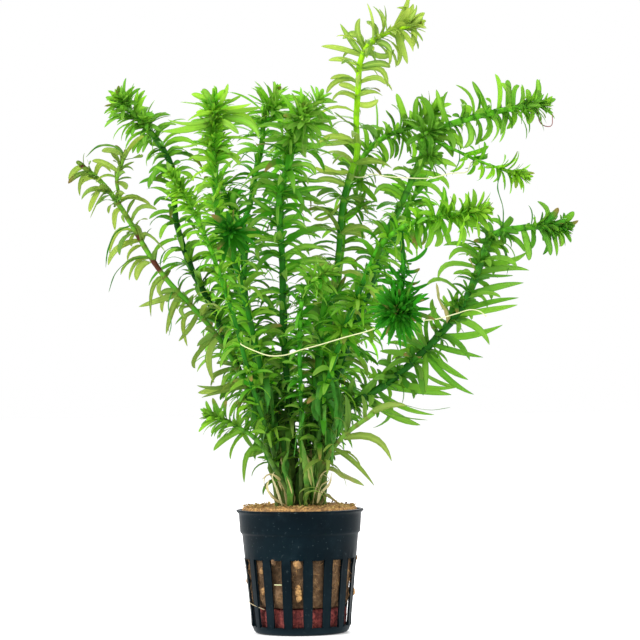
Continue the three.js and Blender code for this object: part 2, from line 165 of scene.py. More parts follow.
class Finish:
    """A material that is written as a sum of its nodes."""

    def __init__(self, name):
        self.material = bpy.data.materials.new(name)
        self.material.use_nodes = True
        self.tree = self.material.node_tree
        self.surface = self.tree.nodes["Principled BSDF"]
        self.output = self.tree.nodes["Material Output"]

    def put(self, socket, value):
        """Sets a socket to a number or a colour, or links another node's output to it."""
        if isinstance(value, Value):
            self.tree.links.new(value.socket, socket)
        else:
            socket.default_value = value

    def node(self, kind, settings=None, values=None, out=0):
        """A new node with its settings, a ramp's stops and what goes into its sockets."""
        node = self.tree.nodes.new(kind)
        for key, value in (settings or {}).items():
            if key == "stops":
                while len(node.color_ramp.elements) < len(value):
                    node.color_ramp.elements.new(1.0)
                for stop, (position, colour) in zip(node.color_ramp.elements, value):
                    stop.position = position
                    stop.color = (*colour, 1)
            else:
                setattr(node, key, value)
        for key, value in (values or {}).items():
            self.put(node.inputs[key], value)
        return Value(self, node.outputs[out])

    def mix(self, factor, first, second):
        """The first colour where the factor is 0, the second where it is 1."""
        first, second = ((*c, 1) if isinstance(c, tuple) else c for c in (first, second))
        return self.node("ShaderNodeMix", {"data_type": "RGBA"}, {0: factor, 6: first, 7: second}, out=2)

    def mark(self, name):
        """A number that the mesh holds for each of its points."""
        return self.node("ShaderNodeAttribute", {"attribute_name": name}, out="Fac")

    def noise(self, scale, detail=3.0, stretch=(1, 1, 1)):
        """Cloudy noise with about `scale` clouds to a metre."""
        place = self.node("ShaderNodeTexCoord", out="Object")
        place = self.node("ShaderNodeMapping", {}, {"Vector": place, "Scale": stretch})
        return self.node("ShaderNodeTexNoise", {}, {"Vector": place, "Scale": scale, "Detail": detail})

    def between(self, value, low, high):
        """0 below low, 1 above high."""
        return self.node("ShaderNodeMapRange", {}, {0: value, 1: low, 2: high, 3: 0.0, 4: 1.0})

    def height(self, low, high):
        """0 at the height low, 1 at the height high."""
        place = self.node("ShaderNodeTexCoord", out="Object")
        return self.between(self.node("ShaderNodeSeparateXYZ", {}, {0: place}, "Z"), low, high)

    def set(self, **sockets):
        """Sets or links the surface's own sockets, with _ for each space in a name."""
        for name, value in sockets.items():
            self.put(self.surface.inputs[name.replace("_", " ")], value)

    def bump(self, height, depth, strength=1.0):
        """Roughens the surface by a height of 0 to 1 that stands for `depth`."""
        bumped = self.node("ShaderNodeBump", {}, {"Height": height, "Distance": depth, "Strength": strength})
        self.put(self.surface.inputs["Normal"], bumped)
        return bumped


def make_piece(name, points, faces, finishes, finish_of=None, uvs=None, marks=None):
    """A smooth-shaded mesh object from arrays, with its finishes, its map for baking and its marks."""
    mesh = bpy.data.meshes.new(name)
    mesh.from_pydata(np.asarray(points).tolist(), [], faces)
    for finish in finishes:
        mesh.materials.append(finish.material)
    if finish_of is not None:
        mesh.polygons.foreach_set("material_index", np.asarray(finish_of, np.int32))
    if uvs is not None:
        mesh.uv_layers.new(name="OFBake").data.foreach_set("uv", np.asarray(uvs, np.float32).ravel())
    for key, values in (marks or {}).items():
        mesh.attributes.new(key, "FLOAT", "POINT").data.foreach_set("value", np.asarray(values, np.float32))
    mesh.polygons.foreach_set("use_smooth", np.ones(len(mesh.polygons), bool))
    mesh.update()
    piece = bpy.data.objects.new(name, mesh)
    bpy.context.scene.collection.objects.link(piece)
    return piece


def lumps(points, size, seed):
    """Smooth random heights from -1 to 1 at the points, with about one lump in each size."""
    cell = np.asarray(points) / size
    low = np.floor(cell)
    part = cell - low
    part = part * part * (3 - 2 * part)
    total = 0
    for corner in np.ndindex(2, 2, 2):
        key = (low + corner) @ np.array((127.1, 311.7, 74.7)) + 17.3 * seed
        weight = np.prod(np.where(np.array(corner) == 1, part, 1 - part), axis=-1)
        total = total + (2 * ((np.sin(key) * 43758.5453) % 1) - 1) * weight
    return total


def wall_radius(z):
    """The radius of the wall's outer face at a height."""
    return np.interp(z, WALL_HEIGHTS, WALL_RADII)


def net_pot():
    """The pot's profile, foot and outside first, turned about its axis, with the slots left open."""
    slot_rows = np.linspace(SLOT_LOW, SLOT_HIGH, 8)
    floor_rows = np.linspace(*FLOOR_SLOT_RADII, 4)
    outer = [(r, 0) for r in (*HUB_RADII, *floor_rows)]
    outer += [(r * MM, z * MM) for r, z in FOOT_EDGE]
    outer += [(wall_radius(z), z) for z in slot_rows]
    outer += [(r * MM, z * MM) for r, z in COLLAR_AND_LIP]
    inner = [(wall_radius(z) - POT_WALL, z) for z in slot_rows[::-1]]
    inner += [(r * MM, z * MM) for r, z in FLOOR_EDGE]
    inner += [(r, POT_FLOOR) for r in (*floor_rows[::-1], *HUB_RADII[::-1])]
    profile = np.array(outer + inner)
    rows = len(profile)
    across = np.concatenate([np.linspace(-SLOT_HALF, SLOT_HALF, SLOT_COLUMNS + 1)[:-1],
                             np.linspace(SLOT_HALF, POT_PITCH - SLOT_HALF, SLOT_COLUMNS + 1)[:-1]])
    turns = np.concatenate([FRONT_SLOT + i * POT_PITCH + across for i in range(POT_SLOTS)])
    columns = len(turns)
    ring = np.stack([np.cos(turns), np.sin(turns)], axis=1)
    points = np.array([(*(r * direction), z) for r, z in profile for direction in ring])

    def at(row, column):
        """The number of the point at a row and a column."""
        return row * columns + column % columns

    def first_row(radius, height):
        """The row of the profile that is nearest to a radius and a height."""
        return int(np.argmin(np.abs(profile - (radius, height)).sum(axis=1)))

    openings = [(first_row(wall_radius(SLOT_LOW), SLOT_LOW), len(slot_rows),
                 first_row(wall_radius(SLOT_LOW) - POT_WALL, SLOT_LOW), 1),
                (first_row(FLOOR_SLOT_RADII[0], 0), len(floor_rows),
                 first_row(FLOOR_SLOT_RADII[0], POT_FLOOR), FLOOR_SLOT_EVERY)]
    cut = set()
    faces = []
    for low, count, far, every in openings:
        for slot in range(0, POT_SLOTS, every):
            left = 2 * SLOT_COLUMNS * slot
            right = left + SLOT_COLUMNS
            for k in range(count - 1):
                cut.update((low + k, c) for c in range(left, right))
                cut.update((far - k - 1, c) for c in range(left, right))
                near, next_near, next_far, back = low + k, low + k + 1, far - k - 1, far - k
                faces.append([at(near, left), at(next_near, left), at(next_far, left), at(back, left)])
                faces.append([at(next_near, right), at(near, right), at(back, right), at(next_far, right)])
            last, far_last = low + count - 1, far - count + 1
            for c in range(left, right):
                faces.append([at(low, c + 1), at(low, c), at(far, c), at(far, c + 1)])
                faces.append([at(last, c), at(last, c + 1), at(far_last, c + 1), at(far_last, c)])
    for row in range(rows - 1):
        for column in range(columns):
            if (row, column) not in cut:
                after = column + 1
                faces.append([at(row, column), at(row, after), at(row + 1, after), at(row + 1, column)])
    faces.append([at(0, c) for c in range(columns)][::-1])
    faces.append([at(rows - 1, c) for c in range(columns)])
    return points, faces


pot_plastic = Finish("pot_plastic")
dust = pot_plastic.between(pot_plastic.noise(900, 2), 0.66, 0.74)
cloud = pot_plastic.noise(55, 4)
haze = pot_plastic.between(pot_plastic.noise(130, 4), 0.52, 0.72)
# Real dust haze in clouds, plus painted light: below 26 mm, and most within 3 mm of the foot, the plastic is
# lightened, a painted reflection of the pale floor.
haze_and_floor_light = haze * 0.3 + pot_plastic.height(3 * MM, 0.6 * MM) * 0.6 + pot_plastic.height(26 * MM, 6 * MM) * 0.16
plastic_colour = pot_plastic.mix(pot_plastic.between(cloud, 0.35, 0.65), DARK_PLASTIC, LIGHT_PLASTIC)
plastic_colour = pot_plastic.mix(haze_and_floor_light, plastic_colour, HAZE_AND_FLOOR_LIT_PLASTIC)
pot_plastic.set(Base_Color=pot_plastic.mix(dust * 0.5, plastic_colour, DUST),
                Roughness=0.34 + 0.16 * cloud + 0.2 * dust, Specular_IOR_Level=0.045)
pot_plastic.bump(pot_plastic.noise(260, 3), 0.12 * MM, 0.25)

pot = make_piece("net_pot_moulding", *net_pot(), [pot_plastic])
rounding = pot.modifiers.new("moulded_edges", "BEVEL")
rounding.width = 0.22 * MM
rounding.segments = 2
rounding.angle_limit = math.radians(50)
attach(pot, "root")
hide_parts("net_pot")

# The red pad and the wool: loose fibre that fills the pot. The pad is a deep red disc on the floor, and
# the wool is a crumbly orange-brown plug pushed in round the stems, which swells into the slots.
PAD_TOP = 10.5 * MM
WOOL_TOP = 51.5 * MM
FIBRE_RADIUS = 0.07 * MM
PAD_COLUMNS = 150
PAD_ROW = 0.7 * MM
PAD_FIBRES = 260
WOOL_COLUMNS = 220
WOOL_ROW = 0.75 * MM
TOP_FIBRES = 420
SLOT_FIBRES = 360
WOOL_CRUMBS = 240
GRAIN_FACES = ((0, 1, 2), (0, 2, 3), (0, 3, 1), (1, 4, 2), (2, 5, 3), (3, 6, 1), (4, 2, 5), (5, 3, 6),
               (6, 1, 4), (4, 5, 7), (5, 6, 7), (6, 4, 7))
CLUMP_RINGS = 9
CLUMP_COLUMNS = 12
# Hollows as (degrees round from the front, height, reach, depth); clumps as (degrees, height, size, tone).
WOOL_HOLLOWS = ((-48, 22, 3.0, 1.3), (-27, 24.5, 4.5, 2.2), (-3, 13.5, 2.2, 1.6), (-3, 24, 2.6, 0.8),
                (64, 13, 2.5, 1.2), (41, 27, 3, 0.5), (19, 26, 3, 0.5), (87, 20, 5, 1.5), (132, 16, 4, 1.8),
                (177, 25, 5, 1.6), (-138, 18, 4, 1.7))
WOOL_CLUMPS = ((-46, 26, 1.1, 0.75), (-45, 18, 1.3, 0.7), (-29, 30, 1.1, 0.35), (-3.5, 29.3, 1.7, 0.4),
               (-1.5, 28.9, 1.4, 0.45), (-2, 17.6, 1.5, 0.72), (-1.4, 15.6, 1.3, 0.76),
               (-2.2, 19.4, 1.1, 0.66), (86, 30.5, 1.2, 0.7), (86.5, 16.6, 1.5, 0.85), (-88, 27, 1.0, 0.6),
               (-87, 21.5, 1.2, 0.5), (110, 22, 1.4, 0.7), (160, 27, 1.5, 0.8), (-160, 15, 1.5, 0.8))
rng = np.random.default_rng(7)


def unit(vector):
    """The vector, or each row of vectors, with a length of 1."""
    return vector / np.linalg.norm(vector, axis=-1, keepdims=True)


def ring_faces(rows, columns):
    """The faces of a closed skin whose points run ring by ring, with a cap on its first and last ring."""
    faces = [[row * columns + c, row * columns + (c + 1) % columns, (row + 1) * columns + (c + 1) % columns,
              (row + 1) * columns + c] for row in range(rows - 1) for c in range(columns)]
    faces.append(list(range(columns))[::-1])
    faces.append([(rows - 1) * columns + c for c in range(columns)])
    return faces


def filled_form(profile, columns, shape):
    """A closed turned form whose points are moved by shape(points, angle)."""
    turns = np.linspace(0, math.tau, columns, endpoint=False)
    ring = np.stack([np.cos(turns), np.sin(turns)], axis=1)
    points = np.concatenate([np.column_stack([r * ring, np.full(columns, z)]) for r, z in profile])
    return shape(points, np.tile(turns, len(profile))), ring_faces(len(profile), columns)


def tube(points, radii, sides=5):
    """Points and faces of a closed tube along a route, with its frames carried along the route."""
    points = np.asarray(points, float)
    radii = np.broadcast_to(radii, len(points))
    ahead = unit(np.gradient(points, axis=0))
    side = np.zeros_like(points)
    side[0] = unit(np.cross(ahead[0], np.eye(3)[int(np.argmin(np.abs(ahead[0])))]))
    for i in range(1, len(points)):
        side[i] = unit(side[i - 1] - ahead[i] * (side[i - 1] @ ahead[i]))
    other = np.cross(ahead, side)
    turns = np.linspace(0, math.tau, sides, endpoint=False)
    ring = np.cos(turns)[None, :, None] * side[:, None] + np.sin(turns)[None, :, None] * other[:, None]
    skin = (points[:, None] + radii[:, None, None] * ring).reshape(-1, 3)
    return skin, ring_faces(len(points), sides)


def joined(parts):
    """Many (points, faces) as one, with the number of the part that each point comes from."""
    skins, faces, owners, start = [], [], [], 0
    for number, (skin, part_faces) in enumerate(parts):
        skins.append(skin)
        faces += [[index + start for index in face] for face in part_faces]
        owners.append(np.full(len(skin), number))
        start += len(skin)
    return np.concatenate(skins), faces, np.concatenate(owners)


def in_slot(turns):
    """1 in the middle of a slot, 0 behind a rib."""
    off = (turns - FRONT_SLOT + POT_PITCH / 2) % POT_PITCH - POT_PITCH / 2
    return np.clip(1.15 - np.abs(off) / SLOT_HALF, 0, 1) ** 0.5


def pad_shape(points, _):
    """The pad's points, roughened outwards."""
    rough = lumps(points, 1.6 * MM, 1) * 0.5 + lumps(points, 0.5 * MM, 2) * 0.25
    outward = unit(points - (0, 0, PAD_TOP / 2))
    return points + outward * rough[:, None] * 0.7 * MM * np.clip(points[:, 2:] / (3 * MM), 0.2, 1)


def hollows(points):
    """How deep the wool is hollowed at each point, as a share of its swelling."""
    turns = np.arctan2(points[:, 1], points[:, 0]) + math.pi / 2
    radius = np.hypot(points[:, 0], points[:, 1])
    deep = np.zeros(len(points))
    for turn, z, reach, depth in WOOL_HOLLOWS:
        away = turns - math.radians(turn)
        near = np.exp(-((np.sin(away) * radius) ** 2 + (points[:, 2] - z * MM) ** 2) / (reach * MM) ** 2)
        deep = deep + depth * near * (np.cos(away) > 0)
    return deep


def wool_shape(points, turns):
    """The wool's points: rough all over, swollen into the slots, and lumpy on top."""
    radius = np.hypot(points[:, 0], points[:, 1])
    side = np.clip((WOOL_TOP - 2 * MM - points[:, 2]) / (2 * MM), 0, 1) * (radius > 12 * MM)
    swell = in_slot(turns) * (points[:, 2] < SLOT_HIGH) * (0.5 + 0.6 * lumps(points, 4 * MM, 5))
    swell = swell - hollows(points)
    rough = 0.7 * lumps(points, 2.2 * MM, 3) + 0.5 * lumps(points, 0.8 * MM, 4)
    outward = np.column_stack([np.cos(turns), np.sin(turns), np.zeros(len(turns))])
    out = points + outward * (side * (0.8 * MM * swell + 0.25 * MM * (rough - 0.6)))[:, None]
    top = (1 - side) * np.clip((points[:, 2] - 40 * MM) / (4 * MM), 0, 1)
    out[:, 2] += top * (0.75 * MM * rough + 0.9 * MM * lumps(points, 7 * MM, 9) - 0.2 * MM)
    return out


def turned_profile(corners, spacing):
    """Points every `spacing` along the straight lines between the corners."""
    corners = np.array(corners) * MM
    rows = [corners[0]]
    for start, end in zip(corners[:-1], corners[1:]):
        count = max(1, round(np.linalg.norm(end - start) / spacing))
        rows += [start + (end - start) * (k + 1) / count for k in range(count)]
    return rows


def loose_fibres(count, place, length, lift):
    """Short curled strands. place() gives a strand's middle and the direction out of the surface there."""
    strands = []
    for _ in range(count):
        middle, out = place()
        along = unit(np.cross(out, rng.normal(size=3)))
        bend = unit(np.cross(out, along)) * rng.normal(0, 0.5) + out * rng.uniform(-0.4, 1.0) * lift
        t = np.linspace(-1, 1, 7)[:, None]
        size = length * rng.uniform(0.5, 1.3) / 2
        route = middle + size * (along * t + bend * t * t * 0.7 + out * 0.15 * np.sin(3 * t))
        strands.append(tube(route, FIBRE_RADIUS * rng.uniform(0.6, 1.3) * (1.05 - np.abs(t[:, 0]) ** 3), 3))
    return strands


def crumbs(count):
    """Small irregular grains that lie on the wool."""
    grains = []
    for _ in range(count):
        middle, _ = top_spot()
        turns = rng.normal(size=(8, 3))
        size = rng.uniform(0.25, 0.7) * MM
        corners = unit(turns) * size * rng.uniform(0.7, 1.2, (8, 1))
        corners = corners[np.argsort(corners[:, 2])]
        grains.append((middle + (0, 0, rng.uniform(-0.2, 0.6) * MM) + corners, GRAIN_FACES))
    return grains


def clumps(places):
    """Lumps of wool that stand out of the slots."""
    parts = []
    for turn, z, size, _ in places:
        turn = math.radians(turn - 90)
        rows = np.linspace(0.08, math.pi - 0.08, CLUMP_RINGS)
        ball = [np.array((math.sin(r) * math.cos(c), math.sin(r) * math.sin(c), 1.3 * math.cos(r)))
                for r in rows for c in np.linspace(0, math.tau, CLUMP_COLUMNS, endpoint=False)]
        out = np.array((math.cos(turn), math.sin(turn), 0))
        middle = out * (wall_radius(z * MM) - 0.9 * MM) + (0, 0, z * MM)
        skin = middle + np.array(ball) * size * MM
        skin = skin + unit(skin - middle) * (0.35 * size * MM * lumps(skin, 1.1 * MM, 21))[:, None]
        parts.append((skin, ring_faces(CLUMP_RINGS, CLUMP_COLUMNS)))
    return parts


def fibre_finish(name, stops, shade):
    """Dull fibre whose colour runs through the stops, with painted shade in its hollows."""
    finish = Finish(name)
    patch = finish.noise(150, 5) * 0.8 + finish.noise(620, 3) * 0.45 - 0.12
    patch = patch + 0.36 * finish.height(49 * MM, 51 * MM) + finish.mark("tone") * 0.3 - 0.15
    colour = finish.node("ShaderNodeValToRGB", {"stops": stops}, {0: patch})
    # Painted shade: fine noise spots are mixed towards the shade colour, standing for the fibre's hollows.
    painted_shade_mask = finish.between(finish.noise(1100, 3), 0.3, 0.6)
    finish.set(Base_Color=finish.mix(painted_shade_mask, shade, colour), Roughness=0.95, Specular_IOR_Level=0.1)
    finish.bump(finish.noise(1500, 4) + finish.noise(500, 2), 0.35 * MM, 0.8)
    return finish


def wall_spot(low, high, reach):
    """A random place in a slot, `reach` inside the wall's outer face, and the way out of it."""
    turn = FRONT_SLOT + rng.integers(POT_SLOTS) * POT_PITCH + rng.uniform(-0.85, 0.85) * SLOT_HALF
    z = rng.uniform(low, high)
    out = np.array((math.cos(turn), math.sin(turn), 0))
    return out * (wall_radius(z) - reach) + (0, 0, z), out


def top_spot():
    """A random place on top of the wool, and the way up."""
    turn = rng.uniform(0, math.tau)
    radius = 23 * MM * math.sqrt(rng.uniform(0.1, 1))
    place = np.array((radius * math.cos(turn), radius * math.sin(turn), WOOL_TOP + 0.2 * MM))
    return place, np.array((0, 0, 1.0))


pad_corners = ((0.5, 1.6), (16, 1.6), (17.4, 3.4), (17.8, 9), (16.8, 10.4), (0.5, 10.4))
pad_parts = [filled_form(turned_profile(pad_corners, PAD_ROW), PAD_COLUMNS, pad_shape)]
pad_parts += loose_fibres(PAD_FIBRES, lambda: wall_spot(3.6 * MM, PAD_TOP - 0.6 * MM, 2.5 * MM),
                          3.5 * MM, 0.2)
pad_skin, pad_faces, pad_owner = joined(pad_parts)
red_stops = ((0.25, (0.18, 0.05, 0.05)), (0.5, (0.44, 0.095, 0.08)), (0.8, (0.58, 0.22, 0.14)))
red_fibre = fibre_finish("red_fibre", red_stops, (0.09, 0.026, 0.028))
pad_tones = {"tone": (pad_owner * 0.618) % 1}
red_pad = make_piece("red_fibre_pad", pad_skin, pad_faces, [red_fibre], marks=pad_tones)
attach(red_pad, "root")
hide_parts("red_pad")

wool_corners = ((0.5, 11), (17.4, 11), (18.4, 12.3), (19.8, 14), (22.2, 40), (23.4, 43.5), (23.8, 50),
                (22.6, 51.5), (0.5, 51.8))
wool_parts = [filled_form(turned_profile(wool_corners, WOOL_ROW), WOOL_COLUMNS, wool_shape)]
wool_parts += loose_fibres(TOP_FIBRES, top_spot, 3.6 * MM, 0.25)
wool_parts += crumbs(WOOL_CRUMBS)
wool_parts += loose_fibres(SLOT_FIBRES, lambda: wall_spot(13 * MM, SLOT_HIGH, 0.75 * MM), 4.5 * MM, 0.15)
loose_count = len(wool_parts)
wool_parts += clumps(WOOL_CLUMPS)
wool_skin, wool_faces, wool_owner = joined(wool_parts)
clump_tones = [1.2 * tone for _, _, _, tone in WOOL_CLUMPS]
wool_tones_and_hollow_shade = np.concatenate([(np.arange(loose_count) * 0.618) % 1, clump_tones])
wool_tones_and_hollow_shade[0] = -0.12
# Painted shade: the tone is lowered in the wool's hollows below the tops of the slots.
wool_tones_and_hollow_shade = wool_tones_and_hollow_shade[wool_owner] - 0.3 * hollows(wool_skin) * (wool_skin[:, 2] < SLOT_HIGH)
wool_stops = ((0.15, (0.045, 0.03, 0.018)), (0.42, (0.19, 0.115, 0.062)), (0.7, (0.56, 0.31, 0.11)),
              (0.95, (0.75, 0.55, 0.19)))
wool_finish = fibre_finish("wool", wool_stops, (0.09, 0.05, 0.025))
wool = make_piece("wool_filling", wool_skin, wool_faces, [wool_finish], marks={"tone": wool_tones_and_hollow_shade})
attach(wool, "root")
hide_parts("wool_plug")

# The shoots: stems of waterweed with whorls of four thin, translucent leaves, crowded at the growing
# tips and spaced out below. Each grew in one piece, and stands with its cut end pushed into the wool.
LEAF_STATIONS = np.array((0, 0.1, 0.25, 0.42, 0.58, 0.72, 0.85, 0.94, 1))[:, None]
BLUNT_LEAF = np.array((0.5, 0.76, 0.94, 1, 0.99, 0.93, 0.76, 0.5, 0.12))[:, None]
POINTED_LEAF = np.array((0.55, 0.82, 0.97, 1, 0.92, 0.76, 0.5, 0.27, 0.05))[:, None]
LEAF_RINGS = len(LEAF_STATIONS) - 1
LEAF_SECTION = np.array(((-1, 0), (-0.84, 0.5), (0, 0.1), (0.84, 0.5), (1, 0), (0.8, -0.5), (-0.8, -0.5)))
LEAF_THICKNESS = 0.28 * MM
YOUNG_LENGTH = 70 * MM
FIRST_WHORL = 3.4 * MM
BUD_WHORLS = (0.5 * MM, 1.2 * MM, 2.0 * MM, 2.8 * MM)
CROWDED = 20 * MM
# Leaves stand off the stem by the first angle at its tip and by the second lower down, in degrees. The
# next value is how many millimetres that takes, roughly, and the last is how much the angles vary.
TIP_OPENING = 26
FULL_OPENING = 63
OPENS_WITHIN = 8
OPENING_SPREAD = 26
# Leaves and stems low in the bunch are dulled to olive between these heights: partly dirt, partly painted
# shade.
SHADE_AND_DIRT_HEIGHTS = (100 * MM, 56 * MM)
LEAF_DIRT_AND_SHADE = (0.065, 0.105, 0.018)
STEM_DIRT_AND_SHADE = (0.085, 0.13, 0.03)
FADED_LEAF = (0.44, 0.53, 0.15)
DYING_TIP = (0.25, 0.16, 0.05)
BROWN_STAIN = (0.07, 0.022, 0.012)
# A stem has this many sides and this share of its shoot's thickness. The side stems under the tufts have
# these radii in millimetres, and the colour that a stem has this far back from its tip.
STEM_ROUND = 10
STEM_SHARE = 0.8
TWIG_ENDS = (0.7, 0.5)
TWIG_BACK = 10 * MM
# On a shoot's map the stem ends at the first height, its side stems start at the second, and the grid of
# leaves starts at the third.
STEM_STRIP = 0.06
TWIG_STRIP = 0.062
LEAF_GRID = 0.07
USUAL_SHOOT = {
    "cut": False,  # whether its growing tip is missing
    "fork": None,  # the point inside the parent stem that a side branch starts from
    "thin": 1.0,  # the share of its leaves that it still has
    "sparse": (0, 0),  # two distances between which it has lost its leaves
    "broad": 1.0,  # how broad its leaves are
    "stem_age": 1.0,  # how soon its stem darkens away from the tip
    "ruff": 0,  # the number of short leaves of side buds at a whorl
    "ruff_end": 999,  # the distance beyond which a whorl has only four of them
    "ruff_tone": 0.6,
    "ruff_age": 1.0,
    "ruff_size": 1.0,
    "brush": 1.0,  # how far they stand off the stem
    "tuft_tone": None,  # the tone of its tufts, where they don't vary as its other leaves do
}
